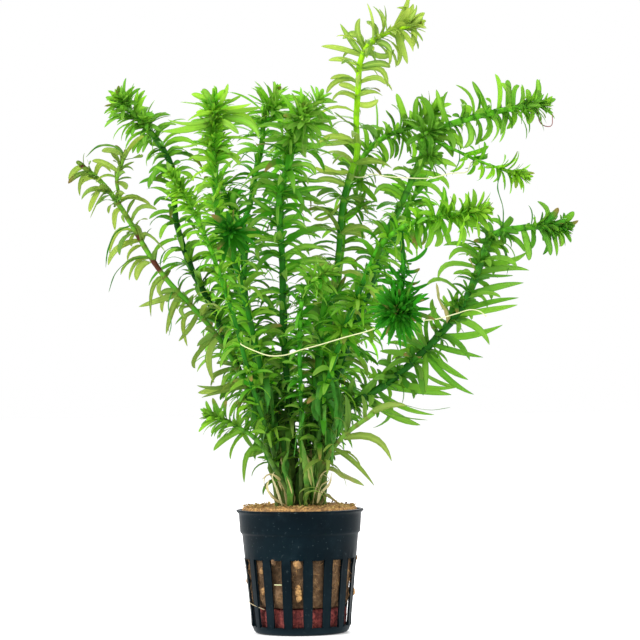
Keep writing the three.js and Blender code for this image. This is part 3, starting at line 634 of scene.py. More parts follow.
# Routes run from the cut end, or from the fork, to the tip, in millimetres, and distances along them are
# measured back from the tip. `look` names the shoot's colours and `stem` is its thickness. `leaf` is the
# leaf length and `gap` the whorl spacing, both at the foot and at the tip. `bare` is the leafless length.
SHOOTS = (
    dict(name="shoot_far_left", look="slim", stem=2.6, leaf=(13, 8), gap=(8, 6), bare=34, cut=True, thin=0.3,
         broad=1.3, ruff=2, route=(
        (-9, -3, 45), (-9.5, -3, 56), (-13, -4, 76), (-23, -6, 104), (-35, -8, 124), (-55, -10, 147),
        (-70, -12, 172), (-78, -12, 183), (-87, -12, 191))),
    dict(name="twig_far_left", look="slim", stem=1.8, leaf=(9, 7), gap=(6, 5), bare=2, cut=True,
         fork=(-73.5, -12, 176.5), thin=0.5, route=(
        (-71, -14, 177), (-72, -17, 184), (-70, -18, 190), (-68, -19, 196))),
    dict(name="shoot_upper_left", look="green", stem=3.2, leaf=(14.5, 10), gap=(5.6, 3.6), bare=36,
         broad=1.15, stem_age=1.8, ruff=3, route=(
        (-8, 1.5, 45), (-8.5, 2, 56), (-14, 4, 82), (-21, 7, 99), (-36, 12, 134), (-44, 14, 150),
        (-50, 14, 170), (-51, 13, 190), (-57, 11, 202), (-64, 9, 210), (-73, 7, 219))),
    dict(name="shoot_left_front", look="bright", stem=2.2, leaf=(10, 5.5), gap=(6.5, 3), bare=22, thin=0.55,
         ruff=9, ruff_end=22, ruff_tone=0.25, brush=0.7, route=(
        (-6, -8, 45), (-6.5, -8.5, 56), (-11, -12, 76), (-18, -20, 99), (-26, -32, 131), (-35, -44, 158),
        (-42, -50, 173), (-49, -55, 184))),
    dict(name="shoot_left_tall", look="crown", stem=2.8, leaf=(14, 6), gap=(6.5, 2.6), bare=26, thin=0.6,
         ruff=16, ruff_end=34, ruff_tone=0.25, ruff_age=0.12, ruff_size=1.25, brush=0.75, route=(
        (-3.5, -4, 45), (-4, -4.5, 56), (-9, -7, 80), (-14, -12, 103), (-19, -18, 127), (-25, -24, 151),
        (-31, -28, 168), (-32, -30, 189), (-32, -32, 203), (-32, -34, 214))),
    dict(name="rosette_left", look="star", stem=2.2, leaf=(9, 10), gap=(4.5, 3.2), bare=3,
         fork=(-27, -25.5, 157), route=(
        (-25.5, -27.5, 157), (-25, -34, 160), (-26, -46, 162))),
    dict(name="shoot_left_dark", look="dark", stem=2.8, leaf=(13, 9), gap=(6.5, 4), bare=26, ruff=4, route=(
        (-3.5, 0.5, 45), (-4, 0.5, 56), (-9, 1, 84), (-15, 0, 103), (-19, -2, 120), (-22, -4, 140),
        (-21, -5, 156), (-23, -6, 166), (-28, -6, 177), (-33, -6, 188))),
    dict(name="shoot_middle_left", look="fresh", stem=3, leaf=(15, 12.5), gap=(7, 4), bare=40,
         tuft_tone=0.15, route=(
        (-7, 6, 45), (-7.5, 6.5, 56), (-12, 10, 82), (-16, 14, 103), (-20, 17, 123), (-22, 18, 144),
        (-22, 18, 167), (-19, 18, 177), (-17, 17, 188), (-14, 16, 201), (-13, 15, 211), (-8, 13, 221))),
    dict(name="shoot_middle", look="fresh", stem=3.4, leaf=(19, 12), gap=(7.5, 4.2), bare=36, thin=0.85,
         broad=1.1, ruff=3, tuft_tone=0.1, route=(
        (-1.5, 5, 45), (-1.5, 5, 56), (-2, 4.5, 74), (-4, 3, 95), (-6, 0, 125), (-6, -4, 152), (-7, -7, 174),
        (-6, -8, 181), (-2, -9, 193), (-1, -12, 203), (3, -19, 211))),
    dict(name="shoot_tallest", look="pale", stem=3, leaf=(16, 12), gap=(7.5, 5), bare=44, thin=0.6,
         broad=1.3, stem_age=0.85, route=(
        (3, 4.5, 45), (3.5, 4.5, 56), (10, 7, 94), (14, 9, 135), (17, 9, 154), (19, 8, 175), (22, 7, 186),
        (25, 6, 195), (25, 5, 209), (26, 4, 223), (27, 3, 233), (31, 2, 240), (40, 0, 245), (49, -2, 247))),
    dict(name="shoot_upper_right", look="green", stem=3.4, leaf=(14, 10), gap=(6.5, 3.8), bare=44, thin=0.6,
         broad=1.2, stem_age=0.55, ruff=3, tuft_tone=0.6, route=(
        (5.5, 0.5, 45), (6, 0, 56), (9, -0.5, 82), (15, -1, 103), (21, 0, 119), (28, 3, 135), (34, 5, 157),
        (43, 8, 174), (50, 10, 190), (55, 10, 201), (61, 9, 206), (78, 7, 211), (90, 5, 213),
        (102, 3, 214))),
    dict(name="branch_right_thin", look="bright", stem=1.6, leaf=(11, 8), gap=(6, 3.6), bare=8,
         fork=(55.5, 10, 201), thin=0.5, route=(
        (58, 7, 200), (66, 5, 196), (74, 4, 192), (84, 2, 188), (94, 0, 184))),
    dict(name="shoot_right_behind", look="green", stem=2.8, leaf=(14, 10), gap=(6.5, 4), bare=44, thin=0.8,
         stem_age=0.25, ruff=4, tuft_tone=0.6, route=(
        (7.5, 5.5, 45), (8, 6.5, 56), (12, 14, 94), (16, 20, 135), (19, 24, 160), (20, 25, 176),
        (24, 25, 188), (30, 24, 198), (38, 23, 204), (50, 21, 208), (59, 19, 214))),
    dict(name="shoot_right_front", look="bright", stem=2.6, leaf=(12, 9), gap=(6.5, 3.6), bare=24, thin=0.8,
         broad=1.1, ruff=4, ruff_tone=0.5, tuft_tone=0.6, route=(
        (4.5, -4, 45), (5, -4.5, 56), (7.5, -9, 76), (12, -18, 102), (25, -34, 138), (35, -43, 157),
        (47, -51, 164), (61, -56, 166), (74, -60, 167))),
    dict(name="rosette_right", look="star", stem=2.2, leaf=(8, 8), gap=(4.5, 3.2), bare=8,
         fork=(41.3, -47.2, 160.5), thin=0.4, broad=0.85, ruff=3, route=(
        (41.5, -47.5, 157), (42, -50, 147), (41, -56, 136), (39, -66, 128))),
    dict(name="shoot_lower_right", look="olive", stem=3.8, leaf=(10, 9), gap=(7.5, 4.2), bare=44, thin=0.8,
         sparse=(13, 26), broad=1.3, ruff=8, route=(
        (9, -2.5, 45), (9.5, -3.5, 56), (11, -6, 76), (14, -8, 84), (21, -10, 92), (36, -12, 101),
        (49, -12, 112), (58, -11, 121), (67, -9, 132), (73, -7, 145), (77, -5, 156), (81, -4, 161),
        (88, -3, 163), (100, -3, 164), (110, -3, 163))),
    dict(name="shoot_low_right", look="slim", stem=2.4, leaf=(15, 12), gap=(7, 5), bare=20, cut=True,
         thin=0.12, route=(
        (7, -8, 45), (7.5, -9, 56), (9, -12, 66), (13, -16, 74), (19, -20, 81), (30, -25, 89))),
    dict(name="shoot_front", look="fresh", stem=2.2, leaf=(8, 8), gap=(6.5, 3.8), bare=24, thin=0.5, ruff=5,
         route=(
        (0.5, -8.5, 45), (0.5, -9, 56), (1, -14, 86), (1, -26, 122), (3, -36, 137), (8, -42, 142),
        (13, -47, 145))),
    dict(name="stem_cut", look="dark", stem=3.6, leaf=(12, 12), gap=(6.5, 7.5), bare=22, cut=True, thin=0.5,
         ruff=3, route=(
        (1, 0, 45), (1.5, -0.5, 56), (3, -2, 74), (6, -4, 94), (8, -5, 107), (10, -6, 127), (12, -7, 137))),
    dict(name="shoot_low_left", look="green", stem=2.4, leaf=(13, 9), gap=(7, 4), bare=16, thin=0.12, route=(
        (-3, -12.5, 45), (-4, -13, 56), (-9, -15, 66), (-17, -18, 79), (-26, -21, 85), (-36, -24, 89))),
    dict(name="shoot_back_left", look="fresh", stem=2.8, leaf=(14, 10), gap=(6.5, 4), bare=38, route=(
        (-9, 10.5, 45), (-9.5, 11, 56), (-15, 19, 90), (-23, 31, 128), (-30, 41, 158), (-34, 46, 179))),
    dict(name="shoot_back_tall", look="dark", stem=3, leaf=(15, 10), gap=(7, 4), bare=40, route=(
        (-3.5, 10, 45), (-3.5, 10.5, 56), (-5, 21, 94), (-6, 36, 140), (-7, 46, 172), (-5, 52, 193),
        (-3, 58, 205))),
    dict(name="shoot_back_middle", look="fresh", stem=2.6, leaf=(14, 10), gap=(6.5, 4), bare=34, route=(
        (1.5, 9.5, 45), (2, 10, 56), (5, 20, 90), (8, 38, 124), (11, 55, 150))),
    dict(name="shoot_back_right", look="dark", stem=3, leaf=(14, 10), gap=(6.5, 4), bare=40, route=(
        (6.5, 10.5, 45), (7, 11, 56), (14, 23, 94), (28, 37, 135), (42, 47, 165), (54, 54, 188))),
    dict(name="shoot_back_low_left", look="dark", stem=2.6, leaf=(14, 10), gap=(6.5, 4), bare=28, route=(
        (-6, 14.5, 45), (-6.5, 15, 56), (-13, 27, 86), (-25, 45, 114), (-38, 60, 138))),
    dict(name="shoot_back_low", look="fresh", stem=2.4, leaf=(13, 9), gap=(6.5, 4), bare=22, route=(
        (-1, 14.5, 45), (-1, 15.5, 56), (-3, 28, 78), (-7, 45, 97), (-11, 60, 111))),
    dict(name="shoot_back_low_right", look="fresh", stem=2.6, leaf=(14, 10), gap=(6.5, 4), bare=28, route=(
        (4, 14.5, 45), (4.5, 15.5, 56), (10, 29, 84), (21, 49, 112), (34, 66, 136))),
)

# The bunches of leaves on short side stems: place, direction, number of leaves and their length.
TUFTS = {
    "shoot_upper_left": (
        ((-72, 5, 219), (-0.5, -0.7, 0.5), 24, 10), ((-62, 6, 210), (-0.3, -0.8, 0.4), 14, 9)),
    "shoot_left_tall": (
        ((-32, -35, 210), (0, -0.9, 0.2), 16, 7), ((-32, -32, 203), (0, -0.7, -0.8), 22, 8)),
    "shoot_middle_left": (
        ((-8, 10, 216), (0.2, -0.7, 0.6), 26, 14),),
    "shoot_middle": (
        ((4, -18, 208), (0, -0.9, 0.4), 34, 13), ((10, -14, 216), (0.6, -0.4, 0.8), 24, 11),
        ((-2, -14, 200), (-0.2, -0.9, -0.2), 18, 12)),
    "shoot_upper_right": (
        ((56, 6, 205), (0.7, -0.5, 0.5), 30, 11), ((56, 5, 194), (0.6, -0.75, 0.1), 26, 11)),
    "shoot_right_behind": (
        ((27, 17, 175), (0.5, -0.7, 0.6), 20, 12), ((25, 18, 186), (-0.2, -0.8, 0.2), 16, 13)),
    "shoot_right_front": (
        ((24, -34, 134), (-0.6, -0.7, 0.35), 20, 9), ((18, -27, 122), (-0.3, -0.9, -0.2), 26, 11)),
    "rosette_right": (
        ((39, -66, 128), (-0.05, -1, -0.05), 59, 11), ((39, -62, 129), (-0.05, -1, -0.05), 52, 13.5),
        ((38, -64, 128), (-0.9, -0.4, 0.05), 30, 15)),
    "shoot_lower_right": (
        ((79, -6, 159), (0.2, -0.8, 0.6), 18, 8), ((64, -12, 134), (0.3, -0.9, 0.2), 12, 7)),
}

# The leaves at the plant's edge that the eye can follow one by one. Each row is a leaf's foot, its
# middle and its tip.
PLACED_LEAVES = {
    "shoot_far_left": (
        (-63, -11, 160, -72, -13, 157, -76, -14, 150), (-65, -11, 163, -72, -9, 164, -76, -7, 155),
        (-59, -11, 153, -67, -12, 152, -71, -14, 146), (-59, -11, 153, -65, -9, 151, -68, -8, 144),
        (-53, -10, 145, -58, -12, 141, -59, -14, 129), (-53, -10, 145, -56, -7, 140, -52, -5, 135),
        (-48, -9, 138, -55, -10, 136, -64, -11, 133), (-47, -9, 137, -50, -11, 133, -53, -13, 122),
        (-40, -9, 131, -43, -10, 125, -48, -12, 119), (-40, -9, 130, -46, -7, 128, -45, -5, 117),
        (-43, -9, 133, -47, -11, 132, -45, -14, 128), (-33, -8, 122, -37, -6, 120, -41, -4, 117),
        (-76, -12, 180, -79, -14, 177, -83, -15, 169), (-67, -12, 166, -63, -14, 173, -56, -16, 172),
        (-75, -12, 179, -82, -10, 181, -87, -8, 177), (-70, -12, 172, -73, -14, 171, -73, -16, 164),
        (-78, -12, 183, -82, -10, 177, -84, -7, 172), (-73, -12, 176, -65, -10, 177, -59, -7, 174),
        (-82, -12, 187, -86, -14, 185, -87, -16, 178), (-85, -12, 190, -89, -10, 189, -92, -9, 185),
        (-63, -11, 160, -60, -13, 162, -53, -15, 155), (-67, -12, 166, -64, -13, 165, -63, -15, 160),
        (-81, -12, 186, -79, -10, 191, -75, -8, 188), (-32, -8, 120, -36, -10, 113, -34, -12, 102),
        (-22, -6, 102, -32, -7, 100, -41, -9, 101), (-22, -6, 101, -34, -3, 99, -41, -1, 98),
        (-21, -6, 100, -29, -9, 99, -39, -12, 96), (-20, -5, 97, -24, -8, 92, -24, -11, 80),
        (-33, -8, 121, -41, -5, 113, -42, -2, 108), (-25, -6, 108, -32, -4, 106, -35, -2, 104),
        (-26, -6, 109, -30, -9, 110, -33, -11, 110)),
    "twig_far_left": (
        (-69, -19, 194, -74, -17, 196, -78, -15, 196), (-70, -18, 190, -72, -19, 192, -74, -21, 195),
        (-71, -18, 187, -77, -16, 191, -82, -15, 192), (-69, -19, 193, -65, -16, 199, -61, -14, 202),
        (-69, -18, 192, -63, -20, 193, -62, -21, 194), (-72, -17, 183, -69, -18, 182, -68, -20, 180)),
    "shoot_left_tall": (
        (-32, -33, 211, -38, -37, 212, -45, -39, 213), (-32, -34, 211, -36, -33, 215, -41, -31, 217),
        (-32, -34, 211, -34, -38, 215, -36, -41, 218), (-31, -34, 212, -31, -35, 216, -32, -33, 220),
        (-30, -34, 212, -28, -38, 215, -26, -40, 220), (-30, -34, 211, -26, -33, 213, -21, -31, 216),
        (-30, -34, 211, -23, -39, 211, -17, -42, 212), (-30, -33, 210, -21, -35, 210, -13, -36, 211),
        (-31, -33, 209, -40, -38, 205, -50, -40, 206), (-31, -32, 207, -41, -34, 203, -53, -34, 202),
        (-31, -31, 203, -40, -34, 197, -49, -35, 196), (-30, -33, 209, -20, -31, 208, -15, -29, 202),
        (-30, -33, 207, -19, -37, 205, -14, -39, 198), (-30, -31, 199, -23, -34, 199, -16, -35, 198),
        (-30, -33, 206, -26, -40, 204, -22, -42, 200), (-31, -30, 194, -25, -34, 192, -22, -36, 188),
        (-32, -30, 194, -36, -33, 191, -41, -34, 192), (-32, -34, 209, -37, -41, 208, -42, -44, 205)),
    "shoot_middle": (
        (-4, -8, 187, 4, -10, 184, 13, -12, 183), (-3, -9, 189, 5, -7, 190, 8, -5, 186),
        (-7, -8, 178, 3, -9, 178, 12, -11, 173), (-7, -8, 178, 0, -5, 180, 5, -3, 182),
        (-2, -10, 197, 8, -8, 198, 19, -7, 199), (-1, -11, 201, 8, -13, 197, 14, -15, 201),
        (-7, -7, 177, -10, -9, 182, -15, -11, 184), (-7, -7, 176, -11, -5, 179, -14, -3, 178),
        (-7, -6, 169, -14, -8, 174, -18, -10, 177), (-7, -6, 169, -11, -4, 172, -18, -2, 171),
        (-6, -5, 157, -15, -7, 157, -15, -10, 151), (-7, -6, 164, -2, -4, 169, 6, -2, 167),
        (-6, -5, 156, 3, -7, 163, 13, -10, 163), (-6, -4, 149, 2, -1, 157, 13, 1, 155),
        (-6, -3, 147, 4, -6, 151, 13, -9, 150), (-7, -6, 164, 0, -8, 169, 3, -10, 176),
        (-7, -7, 177, -13, -5, 184, -18, -3, 177), (-7, -7, 177, 3, -9, 176, 11, -11, 174),
        (-7, -7, 176, 4, -5, 180, 13, -2, 181)),
    "shoot_tallest": (
        (28, 3, 235, 19, 1, 238, 11, 0, 239), (28, 3, 235, 23, 5, 242, 19, 7, 249),
        (29, 3, 237, 26, 1, 245, 27, -1, 250), (32, 2, 241, 32, 3, 249, 30, 5, 257),
        (27, 3, 231, 20, 5, 234, 14, 7, 234), (26, 4, 227, 23, 1, 231, 18, -1, 234),
        (26, 3, 230, 34, 2, 232, 39, 0, 230), (26, 3, 229, 35, 6, 230, 38, 8, 223),
        (26, 4, 224, 33, 1, 226, 37, -1, 223), (29, 2, 238, 36, 4, 235, 41, 6, 238),
        (26, 4, 217, 21, 2, 220, 17, 0, 219), (26, 4, 220, 22, 6, 223, 18, 8, 224),
        (25, 5, 216, 30, 3, 215, 34, 1, 217), (34, 1, 242, 37, 3, 249, 37, 4, 256),
        (40, 0, 245, 46, -1, 252, 42, -3, 254), (41, 0, 245, 43, 2, 237, 42, 4, 231),
        (42, 0, 246, 44, -2, 238, 46, -4, 231), (47, -1, 247, 49, 0, 244, 48, 2, 238),
        (25, 5, 209, 19, 8, 211, 11, 10, 211), (25, 5, 206, 20, 3, 209, 16, 0, 212),
        (23, 7, 188, 13, 5, 188, 8, 4, 190), (22, 7, 186, 14, 10, 189, 10, 12, 192),
        (25, 6, 201, 14, 8, 200, 6, 10, 200), (21, 7, 182, 14, 5, 185, 8, 2, 184),
        (20, 8, 179, 12, 10, 176, 7, 12, 176), (19, 8, 177, 13, 6, 170, 7, 4, 169)),
    "shoot_upper_right": (
        (73, 8, 210, 72, 6, 218, 66, 4, 223), (79, 7, 211, 76, 9, 219, 73, 11, 225),
        (83, 6, 212, 84, 4, 221, 82, 2, 227), (87, 6, 213, 88, 7, 221, 87, 9, 225),
        (90, 5, 213, 90, 4, 220, 92, 2, 222), (78, 7, 211, 80, 8, 205, 76, 10, 200),
        (80, 7, 211, 83, 4, 205, 80, 2, 199), (74, 8, 210, 76, 10, 204, 74, 13, 199),
        (86, 6, 212, 86, 4, 208, 84, 2, 202), (89, 5, 213, 90, 7, 209, 87, 9, 205),
        (70, 8, 209, 72, 6, 202, 69, 4, 197), (68, 8, 209, 70, 11, 214, 68, 13, 218),
        (63, 9, 207, 60, 6, 214, 58, 3, 221), (63, 9, 207, 61, 10, 215, 63, 12, 221),
        (57, 10, 203, 55, 12, 215, 50, 14, 219), (95, 4, 213, 96, 6, 218, 95, 7, 221),
        (98, 4, 214, 100, 2, 217, 99, 1, 220), (96, 4, 214, 97, 2, 210, 95, 0, 206),
        (52, 10, 195, 49, 7, 188, 44, 4, 190), (50, 10, 191, 59, 6, 192, 66, 2, 189),
        (49, 10, 188, 59, 12, 186, 63, 15, 181), (46, 9, 182, 55, 7, 182, 60, 5, 176),
        (45, 9, 177, 37, 6, 182, 32, 4, 178), (44, 8, 175, 39, 11, 180, 33, 14, 181)),
    "shoot_right_behind": (
        (43, 22, 206, 39, 21, 212, 38, 19, 214), (33, 24, 201, 34, 25, 211, 33, 27, 221),
        (47, 22, 207, 44, 20, 216, 42, 18, 221), (50, 21, 208, 50, 23, 215, 51, 25, 220),
        (38, 23, 204, 40, 21, 199, 39, 19, 194), (34, 23, 202, 37, 25, 197, 37, 27, 193),
        (44, 22, 206, 44, 20, 200, 42, 17, 193), (54, 20, 210, 60, 22, 215, 65, 24, 217),
        (27, 24, 194, 21, 22, 202, 17, 20, 203), (25, 25, 189, 19, 27, 195, 15, 29, 197)),
    "shoot_right_front": (
        (66, -58, 166, 73, -59, 167, 76, -61, 167), (66, -58, 166, 72, -56, 169, 76, -55, 171),
        (60, -56, 166, 68, -58, 169, 69, -60, 176), (56, -54, 166, 61, -52, 170, 62, -50, 175),
        (59, -55, 166, 65, -53, 161, 65, -51, 155), (52, -53, 165, 56, -55, 158, 54, -57, 154),
        (62, -56, 166, 67, -58, 163, 72, -60, 162), (56, -54, 166, 59, -52, 159, 60, -49, 155),
        (54, -54, 165, 52, -56, 171, 49, -59, 172), (50, -52, 165, 48, -55, 159, 49, -57, 153)),
    "shoot_lower_right": (
        (73, -7, 145, 84, -8, 147, 94, -10, 146), (73, -7, 144, 81, -5, 144, 88, -3, 144),
        (68, -9, 135, 76, -12, 137, 82, -15, 135), (69, -9, 135, 80, -7, 139, 92, -6, 141),
        (65, -10, 129, 77, -7, 133, 90, -5, 135), (64, -10, 128, 78, -11, 130, 89, -12, 132),
        (63, -10, 127, 72, -14, 123, 77, -18, 116), (57, -11, 120, 70, -10, 120, 83, -9, 124),
        (57, -11, 120, 64, -16, 117, 69, -20, 110), (54, -12, 117, 63, -10, 114, 75, -8, 111),
        (54, -12, 117, 57, -15, 111, 60, -19, 107), (51, -12, 114, 60, -8, 107, 69, -4, 102),
        (51, -12, 114, 51, -16, 106, 51, -20, 97), (47, -12, 110, 49, -17, 103, 50, -22, 96),
        (51, -12, 114, 60, -10, 103, 71, -9, 96), (46, -12, 109, 56, -9, 102, 65, -6, 99),
        (38, -12, 102, 49, -14, 99, 64, -15, 99), (34, -12, 100, 49, -9, 98, 62, -7, 96),
        (74, -7, 147, 62, -9, 149, 57, -12, 143), (75, -6, 150, 67, -4, 155, 62, -2, 151),
        (75, -6, 151, 68, -2, 157, 60, 2, 157), (68, -9, 134, 59, -12, 142, 52, -16, 140),
        (66, -9, 131, 61, -14, 133, 59, -18, 136), (62, -10, 125, 56, -8, 129, 55, -5, 135),
        (59, -11, 122, 56, -14, 126, 55, -17, 132), (96, -3, 164, 102, -5, 169, 98, -7, 174),
        (92, -3, 164, 94, -6, 156, 94, -9, 150), (81, -4, 161, 89, -2, 159, 93, 1, 154),
        (74, -6, 149, 86, -4, 150, 94, -2, 154), (75, -6, 150, 84, -9, 151, 89, -11, 147),
        (99, -3, 164, 102, -5, 158, 103, -7, 152), (102, -3, 164, 105, -2, 159, 106, 0, 152),
        (105, -3, 164, 108, 0, 160, 108, 2, 156), (32, -12, 98, 43, -9, 91, 55, -7, 88),
        (27, -11, 96, 39, -13, 88, 49, -15, 84), (32, -12, 98, 37, -8, 89, 30, -4, 83),
        (51, -12, 114, 46, -14, 118, 39, -16, 120), (50, -12, 113, 43, -9, 114, 38, -7, 110),
        (48, -12, 111, 41, -15, 113, 33, -17, 114), (46, -12, 109, 41, -16, 110, 35, -19, 106),
        (44, -12, 107, 39, -10, 106, 33, -8, 102), (52, -12, 115, 49, -15, 122, 50, -18, 129),
        (53, -12, 116, 52, -10, 124, 54, -8, 129), (43, -12, 106, 38, -14, 104, 31, -16, 104),
        (39, -12, 104, 37, -10, 109, 38, -7, 114), (49, -12, 112, 45, -9, 122, 40, -6, 127),
        (52, -12, 115, 45, -16, 120, 45, -20, 126), (50, -12, 113, 42, -8, 117, 36, -4, 117),
        (41, -12, 105, 36, -16, 109, 32, -20, 109), (57, -11, 120, 54, -15, 126, 56, -19, 131),
        (22, -10, 93, 21, -13, 98, 23, -15, 104), (26, -11, 96, 27, -8, 101, 25, -6, 107),
        (30, -11, 98, 31, -14, 104, 29, -17, 108), (24, -10, 94, 28, -13, 99, 32, -15, 103),
        (33, -12, 100, 35, -9, 105, 39, -7, 109)),
    "shoot_low_right": (
        (18, -19, 79, 30, -22, 79, 37, -24, 70), (14, -17, 75, 22, -19, 69.5, 30, -20, 60),
        (12, -15, 72, 17, -12, 73, 21, -10, 73), (28, -24, 88, 35, -26, 92, 43, -28, 92)),
    "shoot_low_left": (
        (-22, -20, 83, -29, -22, 80, -34, -24, 75), (-23, -20, 84, -20, -17, 78, -17, -14, 74),
        (-13, -17, 74, -20, -19, 74, -22, -21, 62), (-14, -17, 75, -17, -14, 74, -22, -12, 72),
        (-27, -21, 85, -30, -20, 87, -33, -18, 85), (-29, -22, 86, -33, -23, 89, -38, -25, 89)),
}


def leaf_finish(name, young, grown, old, through, share, faded=1.0):
    """A thin leaf: its colour runs from young to old, and `share` of the light goes through it.

    Its tip and its lightest leaves are faded, and those low in the bunch are dull with dirt and painted
    shade.
    """
    finish = Finish(name)
    age = finish.mark("age")
    tone = finish.mark("tone")
    along = finish.mark("along")
    across = finish.mark("across")
    colour = finish.mix(finish.between(age, 0.02, 0.35), young, grown)
    colour = finish.mix(finish.between(age + (tone - 0.5) * 0.5, 0.45, 1.1), colour, old)
    # A darker copy of the grown colour, given by tone and more on older leaves: partly the leaves' own range
    # of greens, partly painted shade deep in the bunch.
    deep = (grown[0] * 0.18, grown[1] * 0.38, grown[2] * 0.3)
    colour = finish.mix(finish.between(tone, 0.42, 0.9) * (0.35 + 0.5 * age), colour, deep)
    pale_tip = finish.between(along, 0.25, 1.0) * finish.between(tone, 0.8, 0.4)
    paleness = finish.between(tone, 0.4, 0.05) * 0.5 + pale_tip * 0.5
    colour = finish.mix(paleness * faded, colour, FADED_LEAF)
    midrib = finish.between(0.22 - across, 0.0, 0.15)
    colour = finish.mix(midrib * 0.35, colour, tuple(min(1, c * 1.5) for c in young))
    # Painted shade: the rims, and the tip a little, are darkened to a dark copy of the old colour, for the
    # shade where the blade curves away.
    edge = finish.between(across + along * along * 0.2, 0.6, 1.1)
    colour = finish.mix(edge * 0.75, colour, (old[0] * 0.3, old[1] * 0.5, old[2] * 0.3))
    dying = finish.between(tone, 0.9, 0.98) * finish.between(along + finish.noise(400) * 0.4, 0.75, 1.15)
    colour = finish.mix(dying, colour, DYING_TIP)
    # Painted shade and dirt: low in the bunch the leaf is dulled to a dark olive.
    colour = finish.mix(finish.height(*SHADE_AND_DIRT_HEIGHTS) * 0.6, colour, LEAF_DIRT_AND_SHADE)
    finish.set(Base_Color=colour, Roughness=0.45, Specular_IOR_Level=0.03)
    cells = finish.noise(900, 2)
    bumped = finish.bump(cells + midrib * 0.6, 0.12 * MM, 0.5)
    glow = finish.node("ShaderNodeBsdfTranslucent", {}, {"Color": (*through, 1), "Normal": bumped})
    factor = share * (1.3 - 0.9 * tone) * (1.06 - 0.25 * age)
    surface = Value(finish, finish.surface.outputs[0])
    blend = finish.node("ShaderNodeMixShader", {}, {0: factor, 1: surface, 2: glow})
    finish.put(finish.output.inputs["Surface"], blend)
    return finish


def stem_finish(name, young, old, foot, ring, stains=()):
    """A juicy stem: brighter towards the tip, with a darker joint at each whorl and brown patches."""
    finish = Finish(name)
    age = finish.mark("age")
    colour = finish.mix(finish.between(age, 0.0, 0.5), young, old)
    colour = finish.mix(finish.between(age + (finish.noise(60) - 0.5) * 0.2, 0.5, 0.62), colour, foot)
    streak = finish.noise(500, 3, (1, 1, 0.25))
    colour = finish.mix(finish.between(streak, 0.4, 0.65) * 0.3, colour, tuple(c * 0.45 for c in foot))
    # Painted shade and dirt: low down the stem is dulled to olive.
    colour = finish.mix(finish.height(*SHADE_AND_DIRT_HEIGHTS), colour, STEM_DIRT_AND_SHADE)
    colour = finish.mix(finish.mark("joint") * 0.8, colour, ring)
    for x, y, z, reach in stains:
        place = finish.node("ShaderNodeTexCoord", out="Object")
        off = finish.node("ShaderNodeVectorMath", {"operation": "DISTANCE"},
                          {0: place, 1: (x * MM, y * MM, z * MM)}, "Value")
        colour = finish.mix(finish.between(off, reach * MM, 0.6 * reach * MM), colour, BROWN_STAIN)
    finish.set(Base_Color=colour, Roughness=0.45, Specular_IOR_Level=0.06)
    finish.bump(streak + finish.noise(1200, 2) * 0.5, 0.15 * MM, 0.8)
    return finish


# Each look's leaf and stem. Leaves: young, grown, old and seen against the light, then the share of the
# light that goes through and how faded they are. Stems: young, old, foot and joint, then their stains,
# each as a place and its reach in millimetres.
LOOK_COLOURS = {
    "dark": (
        ((0.16, 0.50, 0.03), (0.042, 0.35, 0.011), (0.044, 0.25, 0.016), (0.40, 0.77, 0.09), 0.57, 1.3),
        ((0.06, 0.28, 0.01), (0.022, 0.17, 0.012), (0.016, 0.12, 0.010), (0.010, 0.05, 0.008))),
    "green": (
        ((0.24, 0.54, 0.06), (0.18, 0.46, 0.045), (0.10, 0.32, 0.025), (0.50, 0.78, 0.13), 0.57),
        ((0.16, 0.56, 0.018), (0.020, 0.15, 0.012), (0.014, 0.10, 0.010), (0.010, 0.05, 0.008))),
    "fresh": (
        ((0.44, 0.70, 0.08), (0.068, 0.41, 0.016), (0.045, 0.29, 0.016), (0.45, 0.80, 0.12), 0.57, 1.6),
        ((0.12, 0.46, 0.016), (0.032, 0.24, 0.012), (0.018, 0.14, 0.010), (0.02, 0.07, 0.01))),
    "bright": (
        ((0.40, 0.66, 0.06), (0.14, 0.50, 0.024), (0.06, 0.32, 0.016), (0.56, 0.86, 0.11), 0.58),
        ((0.20, 0.56, 0.02), (0.05, 0.32, 0.012), (0.022, 0.17, 0.010), (0.03, 0.12, 0.01))),
    "crown": (
        ((0.13, 0.60, 0.018), (0.38, 0.58, 0.11), (0.24, 0.50, 0.06), (0.60, 0.83, 0.17), 0.66, 0.5),
        ((0.10, 0.42, 0.01), (0.05, 0.26, 0.012), (0.022, 0.17, 0.010), (0.03, 0.10, 0.01))),
    "pale": (
        ((0.50, 0.68, 0.13), (0.36, 0.56, 0.12), (0.15, 0.34, 0.05), (0.70, 0.80, 0.28), 0.6),
        ((0.40, 0.72, 0.01), (0.26, 0.62, 0.01), (0.025, 0.18, 0.010), (0.14, 0.34, 0.02))),
    "slim": (
        ((0.28, 0.47, 0.09), (0.18, 0.35, 0.06), (0.14, 0.27, 0.05), (0.60, 0.70, 0.23), 0.56),
        ((0.16, 0.36, 0.03), (0.10, 0.31, 0.02), (0.06, 0.23, 0.014), (0.10, 0.07, 0.02),
         ((-57, -10, 150, 4.5), (-64, -11, 161, 2.5), (-86.5, -12, 191, 2.4), (-68, -19, 196, 2.2)))),
    "olive": (
        ((0.05, 0.27, 0.02), (0.10, 0.33, 0.03), (0.13, 0.35, 0.04), (0.47, 0.74, 0.13), 0.53, 0.6),
        ((0.12, 0.44, 0.015), (0.030, 0.19, 0.012), (0.02, 0.13, 0.010), (0.012, 0.06, 0.01))),
    # The star look is dark throughout: painted shade on the rosettes that face the viewer from the shaded
    # side of the bunch.
    "star": (
        ((0.012, 0.11, 0.008), (0.026, 0.27, 0.010), (0.045, 0.32, 0.015), (0.20, 0.66, 0.04), 0.42, 0.15),
        ((0.02, 0.16, 0.01), (0.02, 0.16, 0.01), (0.02, 0.16, 0.01), (0.012, 0.06, 0.01))),
}
